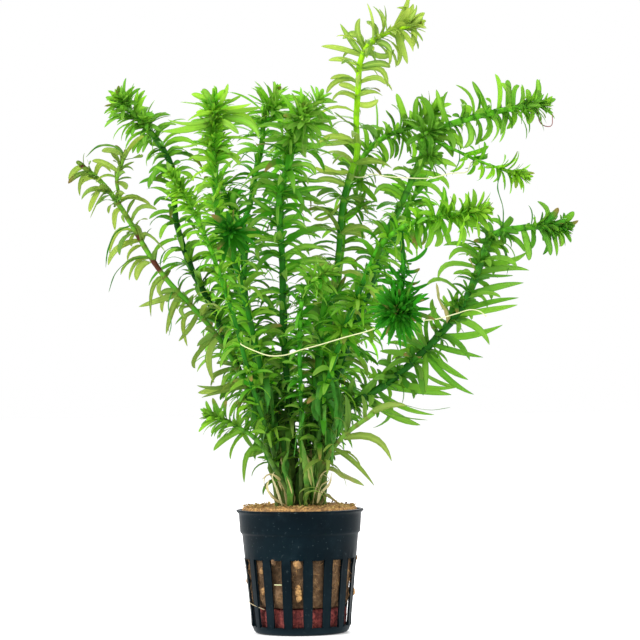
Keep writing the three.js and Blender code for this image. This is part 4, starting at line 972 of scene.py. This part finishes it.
LOOKS = {look: (leaf_finish("leaf_" + look, *leaf), stem_finish("stem_" + look, *stem))
         for look, (leaf, stem) in LOOK_COLOURS.items()}


def chance(key):
    """The same number between 0 and 1 for the same leaf, every time."""
    return (math.sin(key * 12.9898 + 4.1414) * 43758.5453) % 1


def smooth_route(corners, spacing=1 * MM):
    """Evenly spaced points on the smooth curve through the corners, and the curve's length."""
    corners = np.array(corners, float) * MM
    ends = np.concatenate([[2 * corners[0] - corners[1]], corners, [2 * corners[-1] - corners[-2]]])
    dense = []
    for p0, p1, p2, p3 in zip(ends[:-3], ends[1:-2], ends[2:-1], ends[3:]):
        d0, d1, d2 = (math.sqrt(np.linalg.norm(b - a)) for a, b in ((p0, p1), (p1, p2), (p2, p3)))
        start = ((p1 - p0) / d0 - (p2 - p0) / (d0 + d1) + (p2 - p1) / d1) * d1
        end = ((p2 - p1) / d1 - (p3 - p1) / (d1 + d2) + (p3 - p2) / d2) * d1
        t = np.linspace(0, 1, 24, endpoint=False)[:, None]
        dense.append(p1 + start * t + (-3 * p1 + 3 * p2 - 2 * start - end) * t ** 2
                     + (2 * p1 - 2 * p2 + start + end) * t ** 3)
    dense = np.concatenate(dense + [corners[-1:]])
    reach = np.concatenate([[0], np.cumsum(np.linalg.norm(np.diff(dense, axis=0), axis=1))])
    stations = np.linspace(0, reach[-1], max(8, round(reach[-1] / spacing)))
    return np.column_stack([np.interp(stations, reach, dense[:, k]) for k in range(3)]), reach[-1]


def carried_frames(points):
    """The direction ahead and two directions across it, carried along the route without twisting."""
    ahead = unit(np.gradient(points, axis=0))
    first = np.eye(3)[2 - int(np.argmin(np.abs(ahead[0])[::-1]))]
    side = np.zeros_like(points)
    side[0] = np.cross(ahead[0], unit(np.cross(ahead[0], first)))
    for i in range(1, len(points)):
        side[i] = unit(side[i - 1] - ahead[i] * (side[i - 1] @ ahead[i]))
    return ahead, side, np.cross(ahead, side)


def blade_skin(centre, forward, upward, width, turn, fold, ripple):
    """The skin of one leaf along its centre line: a thin blade with a keel, turned along its length."""
    t = LEAF_STATIONS
    across = np.cross(forward, upward)
    across, upward = (across * np.cos(turn) + upward * np.sin(turn),
                      upward * np.cos(turn) - across * np.sin(turn))
    pointed = np.clip((np.linalg.norm(centre[-1] - centre[0]) - 12 * MM) / (9 * MM), 0, 1)
    taper = BLUNT_LEAF + (POINTED_LEAF - BLUNT_LEAF) * pointed
    half = width / 2 * taper
    centre = centre + upward * ripple * np.sin(6 * t + 40 * ripple / MM) * t
    u, h = LEAF_SECTION[None, :, :1], LEAF_SECTION[None, :, 1:]
    height = h * LEAF_THICKNESS / 2 * np.clip(taper, 0.15, 1)[:, None] + fold * half[:, None] * np.abs(u)
    skin = centre[:, None] + across[:, None] * half[:, None] * u + upward[:, None] * height
    return skin.reshape(-1, 3)


def whorl_leaf(root, chord, bend, length, width, curl, twist, spin, fold, ripple):
    """A leaf that runs along `chord` in an arc that curls towards `bend`."""
    t = LEAF_STATIONS
    lean = curl * (t - 0.5)
    forward = chord * np.cos(lean) + bend * np.sin(lean)
    upward = chord * np.sin(lean) - bend * np.cos(lean)
    steps = (forward[:-1] + forward[1:]) / 2 * np.diff(t, axis=0)
    centre = np.concatenate([np.zeros((1, 3)), np.cumsum(steps, axis=0)])
    centre = root + centre * length / np.linalg.norm(centre[-1])
    return blade_skin(centre, forward, upward, width, twist * np.clip(t / 0.3, 0, 1) + spin * t, fold, ripple)


def placed_leaf(row, key):
    """A leaf that runs from its foot through its middle to its tip."""
    foot, middle, tip = np.reshape(row, (3, 3)) * MM
    t = LEAF_STATIONS
    pull = 2 * middle - (foot + tip) / 2
    centre = (1 - t) ** 2 * foot + 2 * t * (1 - t) * pull + t ** 2 * tip
    forward = unit(2 * (1 - t) * (pull - foot) + 2 * t * (tip - pull))
    sideways = unit(np.cross(tip - foot, (0, 1, 0)))
    toward = middle - (foot + tip) / 2 + 0.6 * MM * sideways * math.copysign(1, sideways[2])
    upward = unit(toward - forward * (forward @ toward)[:, None])
    width = (1.9 * MM + 0.045 * np.linalg.norm(tip - foot)) * (0.85 + 0.35 * chance(key))
    turn = (0.75 + 0.7 * chance(key + 0.3)) * (1 if chance(key + 0.2) < 0.5 else -1)
    turn = turn + 0.6 * (chance(key + 0.4) - 0.5) * t
    fold = 0.08 + 0.3 * chance(key + 0.6)
    return blade_skin(centre, forward, upward, width, turn, fold, 0.2 * MM * chance(key + 0.8))


def leaf_map():
    """One leaf's map, from 0 to 1 both ways, in the order of its faces."""
    around = len(LEAF_SECTION)
    uvs = [(u, v) for r in range(LEAF_RINGS) for c in range(around)
           for u, v in ((c, r), (c + 1, r), (c + 1, r + 1), (c, r + 1))]
    uvs += [(c, 0) for c in range(around)][::-1] + [(c, LEAF_RINGS) for c in range(around)]
    return np.array(uvs) / (around, LEAF_RINGS)


LEAF_FACES = ring_faces(LEAF_RINGS + 1, len(LEAF_SECTION))
LEAF_MAP = leaf_map()
DOWN = np.array((0, 0, -1.0))


def grown_leaves(shoot, number, points, length):
    """Every leaf of a shoot as (skin, age, tone)."""
    ahead, side, other = carried_frames(points)
    young, grown = shoot["leaf"][1] * MM, shoot["leaf"][0] * MM
    near, far = shoot["gap"][1] * MM, shoot["gap"][0] * MM
    leaves = []

    def station(back):
        """The number of the route's point that lies `back` from the tip."""
        return min(int(round((length - back) / length * (len(points) - 1))), len(points) - 1)

    def grow(root, axis, out, key, size, pitch, lean, loose, age, tone=None):
        """A leaf that leaves the axis at an angle of pitch and sinks back and down by its lean."""
        bend = unit(-0.7 * axis + 0.3 * DOWN)
        start = axis * math.cos(pitch) + out * math.sin(pitch)
        chord = unit(start + bend * lean)
        bend = np.cross(unit(np.cross(chord, bend)), chord)
        open_angle = math.acos(np.clip(start @ chord, -1, 1))
        curl = 1.6 * open_angle + (0.4 + 0.6 * chance(key + 0.15)) * min(1, lean / 0.3)
        width = shoot["broad"] * (1.1 * MM + 0.08 * size)
        width *= (0.84 + 0.4 * chance(key + 0.25)) * (1 - 0.1 * age)
        twist = loose * (2 * chance(key + 0.8) - 1)
        spin = loose * (chance(key + 0.35) - 0.5)
        fold = 0.08 + 0.3 * chance(key + 0.45)
        ripple = 0.15 * MM * chance(key + 0.55)
        skin = whorl_leaf(root, chord, bend, size, width, curl, twist, spin, fold, ripple)
        leaves.append((skin, age, chance(key + 0.7) if tone is None else tone))

    def grow_whorl(back, key, turns, wild=1.0, keep=1.0):
        """The leaves of one whorl, of which each stays with the chance `keep`."""
        age = min(1, back / YOUNG_LENGTH)
        k = station(back)
        for turn in turns:
            key += 1
            if chance(key + 0.9) >= keep:
                continue
            turn += wild * 0.3 * (chance(key) - 0.5)
            opening = TIP_OPENING + (FULL_OPENING - TIP_OPENING) * (1 - math.exp(-back / MM / OPENS_WITHIN))
            opening += wild * OPENING_SPREAD * (chance(key + 0.3) - 0.5)
            size = (young + (grown - young) * age) * min(1, 0.55 + back / (14 * MM))
            size *= 1 + wild * 0.4 * (chance(key + 0.6) - 0.5)
            out = side[k] * math.cos(turn) + other[k] * math.sin(turn)
            lean = 0.1 + (0.2 + 0.45 * chance(key + 0.5)) * min(1, back / (25 * MM))
            grow(points[k], ahead[k], out, key, size, math.radians(opening), lean, 1.0, age)

    def grow_side_leaf(back, key):
        """One of the short leaves of a side bud at a whorl."""
        k = station(back)
        turn = math.tau * chance(key + 0.05)
        out = side[k] * math.cos(turn) + other[k] * math.sin(turn)
        root = points[k] + ahead[k] * (chance(key + 0.1) - 0.5) * 2 * MM
        size = (4.5 + 4 * chance(key + 0.6)) * shoot["ruff_size"] * MM
        pitch = math.radians(30 + 55 * chance(key + 0.3)) * shoot["brush"]
        age = (0.2 + 0.6 * chance(key + 0.4)) * shoot["ruff_age"]
        tone = shoot["ruff_tone"] + 0.3 * chance(key + 0.7)
        grow(root, ahead[k], out, key, size, pitch, 0.2, 1.0, age, tone)

    def grow_tip_bud():
        """The rings of tiny leaves that close over the growing tip."""
        for w, back in enumerate(BUD_WHORLS):
            for leaf in range(4):
                key = number * 1000 + 900 + w * 10 + leaf
                turn = leaf * math.pi / 2 + (w % 2) * math.pi / 4 + 0.4 * chance(key + 0.1)
                out = side[-1] * math.cos(turn) + other[-1] * math.sin(turn)
                size = young * (0.3 + 0.13 * w) * (0.9 + 0.2 * chance(key))
                root = points[-1] - ahead[-1] * back
                grow(root, ahead[-1], out, key, size, math.radians(8 + 7 * w), 0.05, 0.3, 0.0)

    def grow_tuft(t, place, axis, count, size):
        """A rosette: its leaves spiral down a short axis, the outer ones longer and more open."""
        axis = unit(np.array(axis, float))
        first = unit(np.cross(axis, (0.3, 0.2, 0.9)))
        second = np.cross(axis, first)
        for leaf in range(count):
            key = number * 1000 + 300 + t * 60 + leaf
            share = (leaf + 0.5) / count
            turn = leaf * 2.4 + 0.5 * chance(key)
            out = first * math.cos(turn) + second * math.sin(turn)
            root = np.array(place) * MM - axis * share * 0.5 * size * MM
            long = size * MM * (0.45 + 0.6 * share) * (0.85 + 0.3 * chance(key + 0.6))
            pitch = math.radians(10 + 80 * share ** 0.7)
            tone = None if shoot["tuft_tone"] is None else shoot["tuft_tone"] + 0.3 * chance(key + 0.7)
            grow(root, axis, out, key, long, pitch, 0.25 * share, 1.0, 0.45 * share, tone)

    if not shoot["cut"]:
        grow_tip_bud()
    back, whorl = FIRST_WHORL, 0
    quarter = np.arange(4) * math.pi / 2
    while back < length - shoot["bare"] * MM:
        step = near + (far - near) * min(1, back / YOUNG_LENGTH)
        if not shoot["sparse"][0] * MM < back < shoot["sparse"][1] * MM:
            keep = 1 if back < 12 * MM and not shoot["cut"] else shoot["thin"]
            key = number * 1000 + whorl * 10
            grow_whorl(back, key - 1, quarter + (whorl % 2) * math.pi / 4, keep=keep)
            if back < CROWDED:
                grow_whorl(back + step * 0.33, key + 700.5, quarter + 0.4 + whorl, 2.0, keep)
                grow_whorl(back + step * 0.67, key + 500.5, quarter + 0.9 + whorl, 2.0, keep)
            elif back < 2 * CROWDED or chance(number + whorl * 7) < 0.35:
                grow_whorl(back + step * 0.1, key + 700.5, quarter[:3] * 1.5 + 0.4 + whorl, 2.4, keep)
            for leaf in range(shoot["ruff"] if back < shoot["ruff_end"] * MM else 4):
                grow_side_leaf(back, key + leaf + 0.37)
        back += step
        whorl += 1
    for t, tuft in enumerate(TUFTS.get(shoot["name"], ())):
        grow_tuft(t, *tuft)
    for k, row in enumerate(PLACED_LEAVES.get(shoot["name"], ())):
        key = number * 1000 + 450 + k
        leaves.append((placed_leaf(row, key), 0.5 + 0.5 * chance(key), 0.6 * chance(key + 0.1)))
    return leaves


def whorl_joint(points, length, shoot):
    """For every point of the route, 1 at a whorl and 0 between them, and how far it lies from the tip."""
    back = (1 - np.arange(len(points)) / (len(points) - 1)) * length
    joint = np.zeros(len(points))
    near, far = shoot["gap"][1] * MM, shoot["gap"][0] * MM
    place = FIRST_WHORL
    while place < length:
        joint = np.maximum(joint, np.exp(-((back - place) / (0.7 * MM)) ** 2))
        place += near + (far - near) * min(1, place / YOUNG_LENGTH)
    return joint, back


def stem_map(rows, sides):
    """The stem's map: a strip along the foot of the picture, one row of faces after another."""
    u = np.arange(rows) / (rows - 1)
    v = np.arange(sides + 1) / sides * STEM_STRIP
    uvs = [(u[r + dr], v[c + dc]) for r in range(rows - 1) for c in range(sides)
           for dr, dc in ((0, 0), (0, 1), (1, 1), (1, 0))]
    uvs += [(0, v[c]) for c in range(sides)][::-1] + [(1, v[c]) for c in range(sides)]
    return np.array(uvs)


def twig_route(points, place, axis, size):
    """The route of the short side stem that carries a tuft, from the shoot's stem through the tuft."""
    tip = np.array(place, float)
    base = tip - unit(np.array(axis, float)) * 0.5 * size
    ends = sorted((base, tip), key=lambda end: np.linalg.norm(points / MM - end, axis=1).min())
    nearest = np.linalg.norm(points / MM - ends[0], axis=1).argmin()
    foot = points[max(0, nearest - 3)] / MM
    return smooth_route((foot, *ends))[0]


def leafy_shoot(shoot, number):
    """A stem with its side stems and leaves, as one piece that takes the place of the shoot's solid."""
    points, length = smooth_route(shoot["route"])
    leaves = grown_leaves(shoot, number, points, length)
    joint, back = whorl_joint(points, length, shoot)
    radius = STEM_SHARE * shoot["stem"] / 2 * MM
    if not shoot["cut"]:
        radius = radius * (0.55 + 0.45 * np.clip(back / (22 * MM), 0, 1))
    radius = radius * (1 + 0.12 * joint)
    stem_points = points
    if shoot["fork"] is not None:
        stem_points = np.concatenate([[np.array(shoot["fork"]) * MM], points])
        radius = np.concatenate([radius[:1], radius])
        joint, back = np.concatenate([[0], joint]), np.concatenate([back[:1], back])
    stem_parts = [tube(stem_points, radius, STEM_ROUND)]
    uvs = [stem_map(len(stem_points), STEM_ROUND)]
    tufts = TUFTS.get(shoot["name"], ())
    for t, (place, axis, _, size) in enumerate(tufts):
        twig = twig_route(points, place, axis, size)
        stem_parts.append(tube(twig, np.linspace(*TWIG_ENDS, len(twig)) * MM, STEM_ROUND))
        uvs.append(stem_map(len(twig), STEM_ROUND) * (0.95 / len(tufts), 0.1) + (t / len(tufts), TWIG_STRIP))
        joint = np.concatenate([joint, np.zeros(len(twig))])
        back = np.concatenate([back, np.full(len(twig), TWIG_BACK)])
    stem_skin, stem_faces, _ = joined(stem_parts)
    around = len(LEAF_SECTION)
    per_leaf = (LEAF_RINGS + 1) * around
    skin = np.concatenate([stem_skin] + [leaf[0] for leaf in leaves])
    faces = list(stem_faces)
    columns = math.ceil(math.sqrt(len(leaves) * 2.6))
    rows = math.ceil(len(leaves) / columns)
    cell = np.array((1 / columns, (1 - LEAF_GRID) / rows))
    for k in range(len(leaves)):
        start = len(stem_skin) + k * per_leaf
        faces += [[index + start for index in face] for face in LEAF_FACES]
        corner = np.array((k % columns, k // columns)) * cell + (0, LEAF_GRID)
        uvs.append(corner + (0.04 + 0.92 * LEAF_MAP) * cell)
    stem_age = np.repeat(np.clip(back / (1.6 * YOUNG_LENGTH) * shoot["stem_age"], 0, 1), STEM_ROUND)
    on_stem = np.zeros(len(stem_skin))
    leaf_along = np.tile(np.repeat(LEAF_STATIONS[:, 0], around), len(leaves))
    leaf_across = np.tile(np.abs(LEAF_SECTION[:, 0]), (LEAF_RINGS + 1) * len(leaves))
    marks = {
        "age": np.concatenate([stem_age, np.repeat([leaf[1] for leaf in leaves], per_leaf)]),
        "tone": np.concatenate([on_stem, np.repeat([leaf[2] for leaf in leaves], per_leaf)]),
        "along": np.concatenate([on_stem, leaf_along]),
        "across": np.concatenate([on_stem + 1, leaf_across]),
        "joint": np.concatenate([np.repeat(joint, STEM_ROUND), np.zeros(per_leaf * len(leaves))]),
    }
    finish_of = [1] * len(stem_faces) + [0] * (len(faces) - len(stem_faces))
    finishes = LOOKS[shoot["look"]]
    piece = make_piece("leafy_" + shoot["name"], skin, faces, finishes, finish_of, np.concatenate(uvs), marks)
    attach(piece, "root")
    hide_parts(shoot["name"])


for number, shoot in enumerate(SHOOTS):
    leafy_shoot({**USUAL_SHOOT, **shoot}, number)

# Wilted leaves: the lowest leaves have died back to limp beige and olive ribbons, which loop out of
# the bunch of stems and lie against the wool. Each is a single old leaf, still held by its stem.
# Each row is a ribbon's width, how limp and pale it is, and its route.
WILTED = (
    (2.4, 0.55, ((61, -10, 124), (60, -14, 130), (57, -17, 135), (56, -18, 141))),
    (2.0, 0.62, ((73, -7, 144), (72, -10, 147), (70, -12, 150), (70, -13, 153))),
    (0.9, 0.1, ((-68.5, -19, 194), (-73, -20, 197.5), (-79, -21, 197.5), (-84, -22, 193))),
    (0.7, 0.0, ((-67, -12, 166), (-73, -14, 163), (-76, -15, 156), (-77, -15, 149))),
    (0.7, 0.05, ((-59, -11, 153), (-67, -13, 152), (-73, -14, 147), (-76, -14, 139))),
    (0.6, 0.0, ((-50, -9, 141), (-52, -12, 134), (-51, -13, 126), (-52, -13, 121))),
    (0.7, 0.1, ((-57, -10, 150), (-50, -12, 153), (-45, -13, 151), (-43, -13, 146))),
    (0.7, 0.0, ((84, -3, 163), (84, -5, 172), (82, -6, 180), (83, -6, 186))),
    (0.6, 0.05, ((86, -3, 163), (84, -6, 157), (86, -8, 150), (85, -8, 144))),
    (0.8, 0.1, ((28, -12, 97), (40, -15, 93), (52, -17, 90), (61, -18, 91))),
    (0.7, 0.15, ((24, -12, 94), (33, -15, 90), (44, -17, 87), (52, -18, 86))),
    (0.7, 0.0, ((61, 8, 206), (66, 5, 199), (67, 3, 192), (64, 2, 186))),
    (2.2, 0.74, ((-7, -12, 52), (-11, -14, 57), (-14, -15, 61), (-13.5, -15, 64.5), (-10, -14, 65),
                 (-7, -12, 58))),
    (3.5, 0.42, ((7, -9, 54), (8.5, -11, 62), (12, -14, 67), (19, -17, 64), (26, -19, 60))),
    (1.6, 0.85, ((7, -12, 53), (9, -14, 60), (12, -15, 62.5), (9, -15, 65))),
    (1.1, 0.8, ((-6, -13, 52), (-11, -16, 56), (-13, -17, 60), (-12, -17, 63))),
    (1.2, 1.0, ((-7, -14, 52), (-9, -17, 59), (-11, -19, 64), (-10, -19, 66))),
    (1.3, 0.7, ((-5, -12, 52), (-6, -13, 59), (-9, -16, 64), (-12, -18, 65), (-15, -18, 63))),
    (2.2, 0.75, ((5, -10, 52), (7, -13, 59), (9, -15, 65), (13, -16, 67))),
    (1.6, 0.9, ((7, -8, 51), (9, -11, 57), (12, -12, 61), (13, -12, 65))),
    (2.7, 0.3, ((0, -13, 52), (0, -16, 57), (3, -18, 59), (8, -18, 59), (13, -17, 55))),
    (1.4, 0.3, ((3, -14, 52), (2, -17, 56), (5, -19, 58), (9, -19, 57), (11, -18, 53))),
    (1.5, 0.7, ((8, -6, 52), (11, -8, 56), (14, -10, 54), (17, -11, 51.5))),
    (2.6, 0.1, ((-4, -14, 52), (-4, -17, 61), (-6, -18, 69), (-4, -18, 75))),
    (2.4, 0.15, ((2, -15, 52), (3, -18, 63), (2, -19, 73), (1, -19, 79))),
    (2.4, 0.05, ((-10.3, -9.2, 88), (-13, -16, 84), (-14, -19, 76), (-12, -20, 68))),
    (2.6, 0.0, ((1.5, -14.6, 91), (2, -19, 87), (-1, -22, 80), (-2, -23, 72))),
    (2.5, 0.05, ((8.8, -11.2, 85.5), (12, -16, 84), (14, -19, 78), (13, -21, 70))),
    (2.2, 0.5, ((0.5, -11.9, 76), (1, -15, 74), (4, -18, 68), (5, -19, 60))),
    (2.0, 0.6, ((-7, -6.4, 72), (-7.5, -12, 71), (-5, -17, 64), (-3, -18, 57))),
    (2.4, 0.2, ((6.8, -8.6, 74), (7, -14, 72), (5, -18, 66), (6, -19, 58))),
)


OLD_LEAVES = 190
RIBBON_ROW = 0.9 * MM
RIBBON_THICKNESS = 0.1 * MM
LOW_SHOOTS = ("shoot_lower_right", "shoot_low_left", "shoot_low_right")
BUNCH = [np.array(shoot["route"]) for shoot in SHOOTS
         if "fork" not in shoot and shoot["name"] not in LOW_SHOOTS
         and math.hypot(shoot["route"][2][0], shoot["route"][2][1]) < 13]


def ribbon(width, corners, key):
    """A limp leaf: a thin blade along a smooth route, creased, and pinched at its ends."""
    points, _ = smooth_route(corners, RIBBON_ROW)
    ahead, side, other = carried_frames(points)
    t = np.linspace(0, 1, len(points))[:, None]
    turn = 2.2 * chance(key) + 1.6 * (chance(key + 0.2) - 0.5) * t
    turn = turn + 0.3 * np.sin(7 * t + 5 * chance(key + 0.5))
    across = side * np.cos(turn) + other * np.sin(turn)
    flat = np.cross(ahead, across)
    half = width / 2 * MM * np.clip(1.25 * np.sin(math.pi * (0.12 + 0.88 * t)) ** 0.6, 0.05, 1)
    half = half * (1 + 0.12 * np.sin(31 * t + 9 * chance(key + 0.7)))
    u, h = LEAF_SECTION[None, :, :1], LEAF_SECTION[None, :, 1:]
    crease = 0.35 * half[:, None] * np.abs(u) * np.sin(7 * t + 3 * chance(key + 0.4))[:, None]
    lift = h * RIBBON_THICKNESS + crease
    skin = (points[:, None] + across[:, None] * half[:, None] * u + flat[:, None] * lift).reshape(-1, 3)
    return skin, ring_faces(len(points), len(LEAF_SECTION))


def old_leaf(k):
    """An old leaf, still held by one of the inner stems, which droops over the foot of the bunch."""
    stem = BUNCH[int(chance(k) * len(BUNCH))]
    z = 57 + 46 * chance(k + 0.1)
    foot = np.array([np.interp(z, stem[:, 2], stem[:, axis]) for axis in range(3)])
    turn = math.atan2(foot[1] - 4, foot[0]) + 3.6 * (chance(k + 0.2) - 0.5)
    out = np.array((math.cos(turn), math.sin(turn), 0))
    reach = (1.6 + 2 * chance(k + 0.3)) * (1 + max(0, z - 75) / 18)
    fall = min(8 + 9 * chance(k + 0.4), z - 52.5)
    limp = 0.55 * chance(k + 0.6) ** 1.5 * min(1, (101 - z) / 30)
    knee = foot + out * reach - (0, 0, fall * 0.4)
    end = foot + out * reach * (0.6 + 0.5 * chance(k + 0.7)) - (0, 0, fall)
    return 1.8 + 1.4 * chance(k + 0.5), limp, (foot, foot + out * reach * 0.6 + (0, 0, 1.5), knee, end)


limp_leaves = WILTED + tuple(old_leaf(70 + k) for k in range(OLD_LEAVES))
limp_parts = [ribbon(width, route, 40 + k) for k, (width, _, route) in enumerate(limp_leaves)]
limp_skin, limp_faces, limp_owner = joined(limp_parts)
limp_marks = np.array([limp for _, limp, _ in limp_leaves])[limp_owner]
wilted_leaf = Finish("wilted_leaf")
wilted_stops = ((0.0, (0.035, 0.17, 0.014)), (0.3, (0.16, 0.27, 0.04)), (0.65, (0.38, 0.32, 0.12)),
                (1.0, (0.62, 0.57, 0.31)))
limpness = wilted_leaf.mark("limpness") + (wilted_leaf.noise(320, 4) - 0.5) * 0.5
wilted_colour = wilted_leaf.node("ShaderNodeValToRGB", {"stops": wilted_stops}, {0: limpness})
wilted_leaf.set(Base_Color=wilted_colour, Roughness=0.6, Specular_IOR_Level=0.15)
wilted_leaf.bump(wilted_leaf.noise(900, 3), 0.15 * MM, 0.6)
wilted = make_piece("wilted_leaves", limp_skin, limp_faces, [wilted_leaf], marks={"limpness": limp_marks})
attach(wilted, "root")

# Roots: thin, pale, unbranched water roots, which grow out of the stems' joints and hang in loops in
# front of the leaves. The short one near the tip on the right is a dry, reddish thread of the same kind.
# Each row is a root's thickness, how dry it is, and its route. The last two are loose fibres on the slots.
ROOTS = (
    (0.5, 0.0, ((21.8, 8, 187), (23, 4, 186), (27, -3, 185), (31, -6, 186), (36, -8, 185), (46, -9, 184),
                (55, -8, 184), (63, -5, 186), (70, 0, 187), (72, 3, 191), (76, 4, 192))),
    (0.48, 0.0, ((-22.5, -27, 118), (-22, -35, 117), (-18, -42, 115), (-11, -44, 112.5), (-4.5, -44, 112.7),
                 (1.4, -44, 114.6), (8.5, -44, 116.4), (19, -44, 119.4), (30, -46, 122.4), (36, -51, 126),
                 (41, -56, 135))),
    (0.48, 0.0, ((41, -56, 135), (43, -50, 128), (48, -44, 126), (55, -35, 126.2), (63, -28, 128.3),
                 (69, -24, 130), (73, -20, 129.5), (76, -16, 127.5))),
    (0.4, 1.0, ((99, 3, 213), (100.3, 1, 206.5), (103, 1, 205.1), (104.8, 1, 205.5), (105.2, 1, 210))),
    (0.3, 0.55, ((-21.15, -2.0, 12.8), (-20.6, -5.0, 12.5), (-18.6, -9.6, 11.8), (-14.7, -14.9, 10.6))),
    (0.42, 0.0, ((-10.5, -19.3, 20.8), (-9.2, -20.0, 20.8), (-7.5, -20.7, 20.8))),
)
ROOT_SIDES = 6
root_parts = [tube(smooth_route(route)[0], thickness / 2 * MM, ROOT_SIDES) for thickness, _, route in ROOTS]
root_skin, root_faces, root_owner = joined(root_parts)
root_finish = Finish("pale_root")
root_colour = root_finish.mix(root_finish.noise(300, 3), (0.72, 0.74, 0.46), (0.50, 0.52, 0.22))
root_colour = root_finish.mix(root_finish.mark("dry"), root_colour, (0.22, 0.07, 0.06))
root_finish.set(Base_Color=root_colour, Roughness=0.5, Specular_IOR_Level=0.2)
dry_marks = np.array([dry for _, dry, _ in ROOTS])[root_owner]
water_roots = make_piece("water_roots", root_skin, root_faces, [root_finish], marks={"dry": dry_marks})
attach(water_roots, "root")
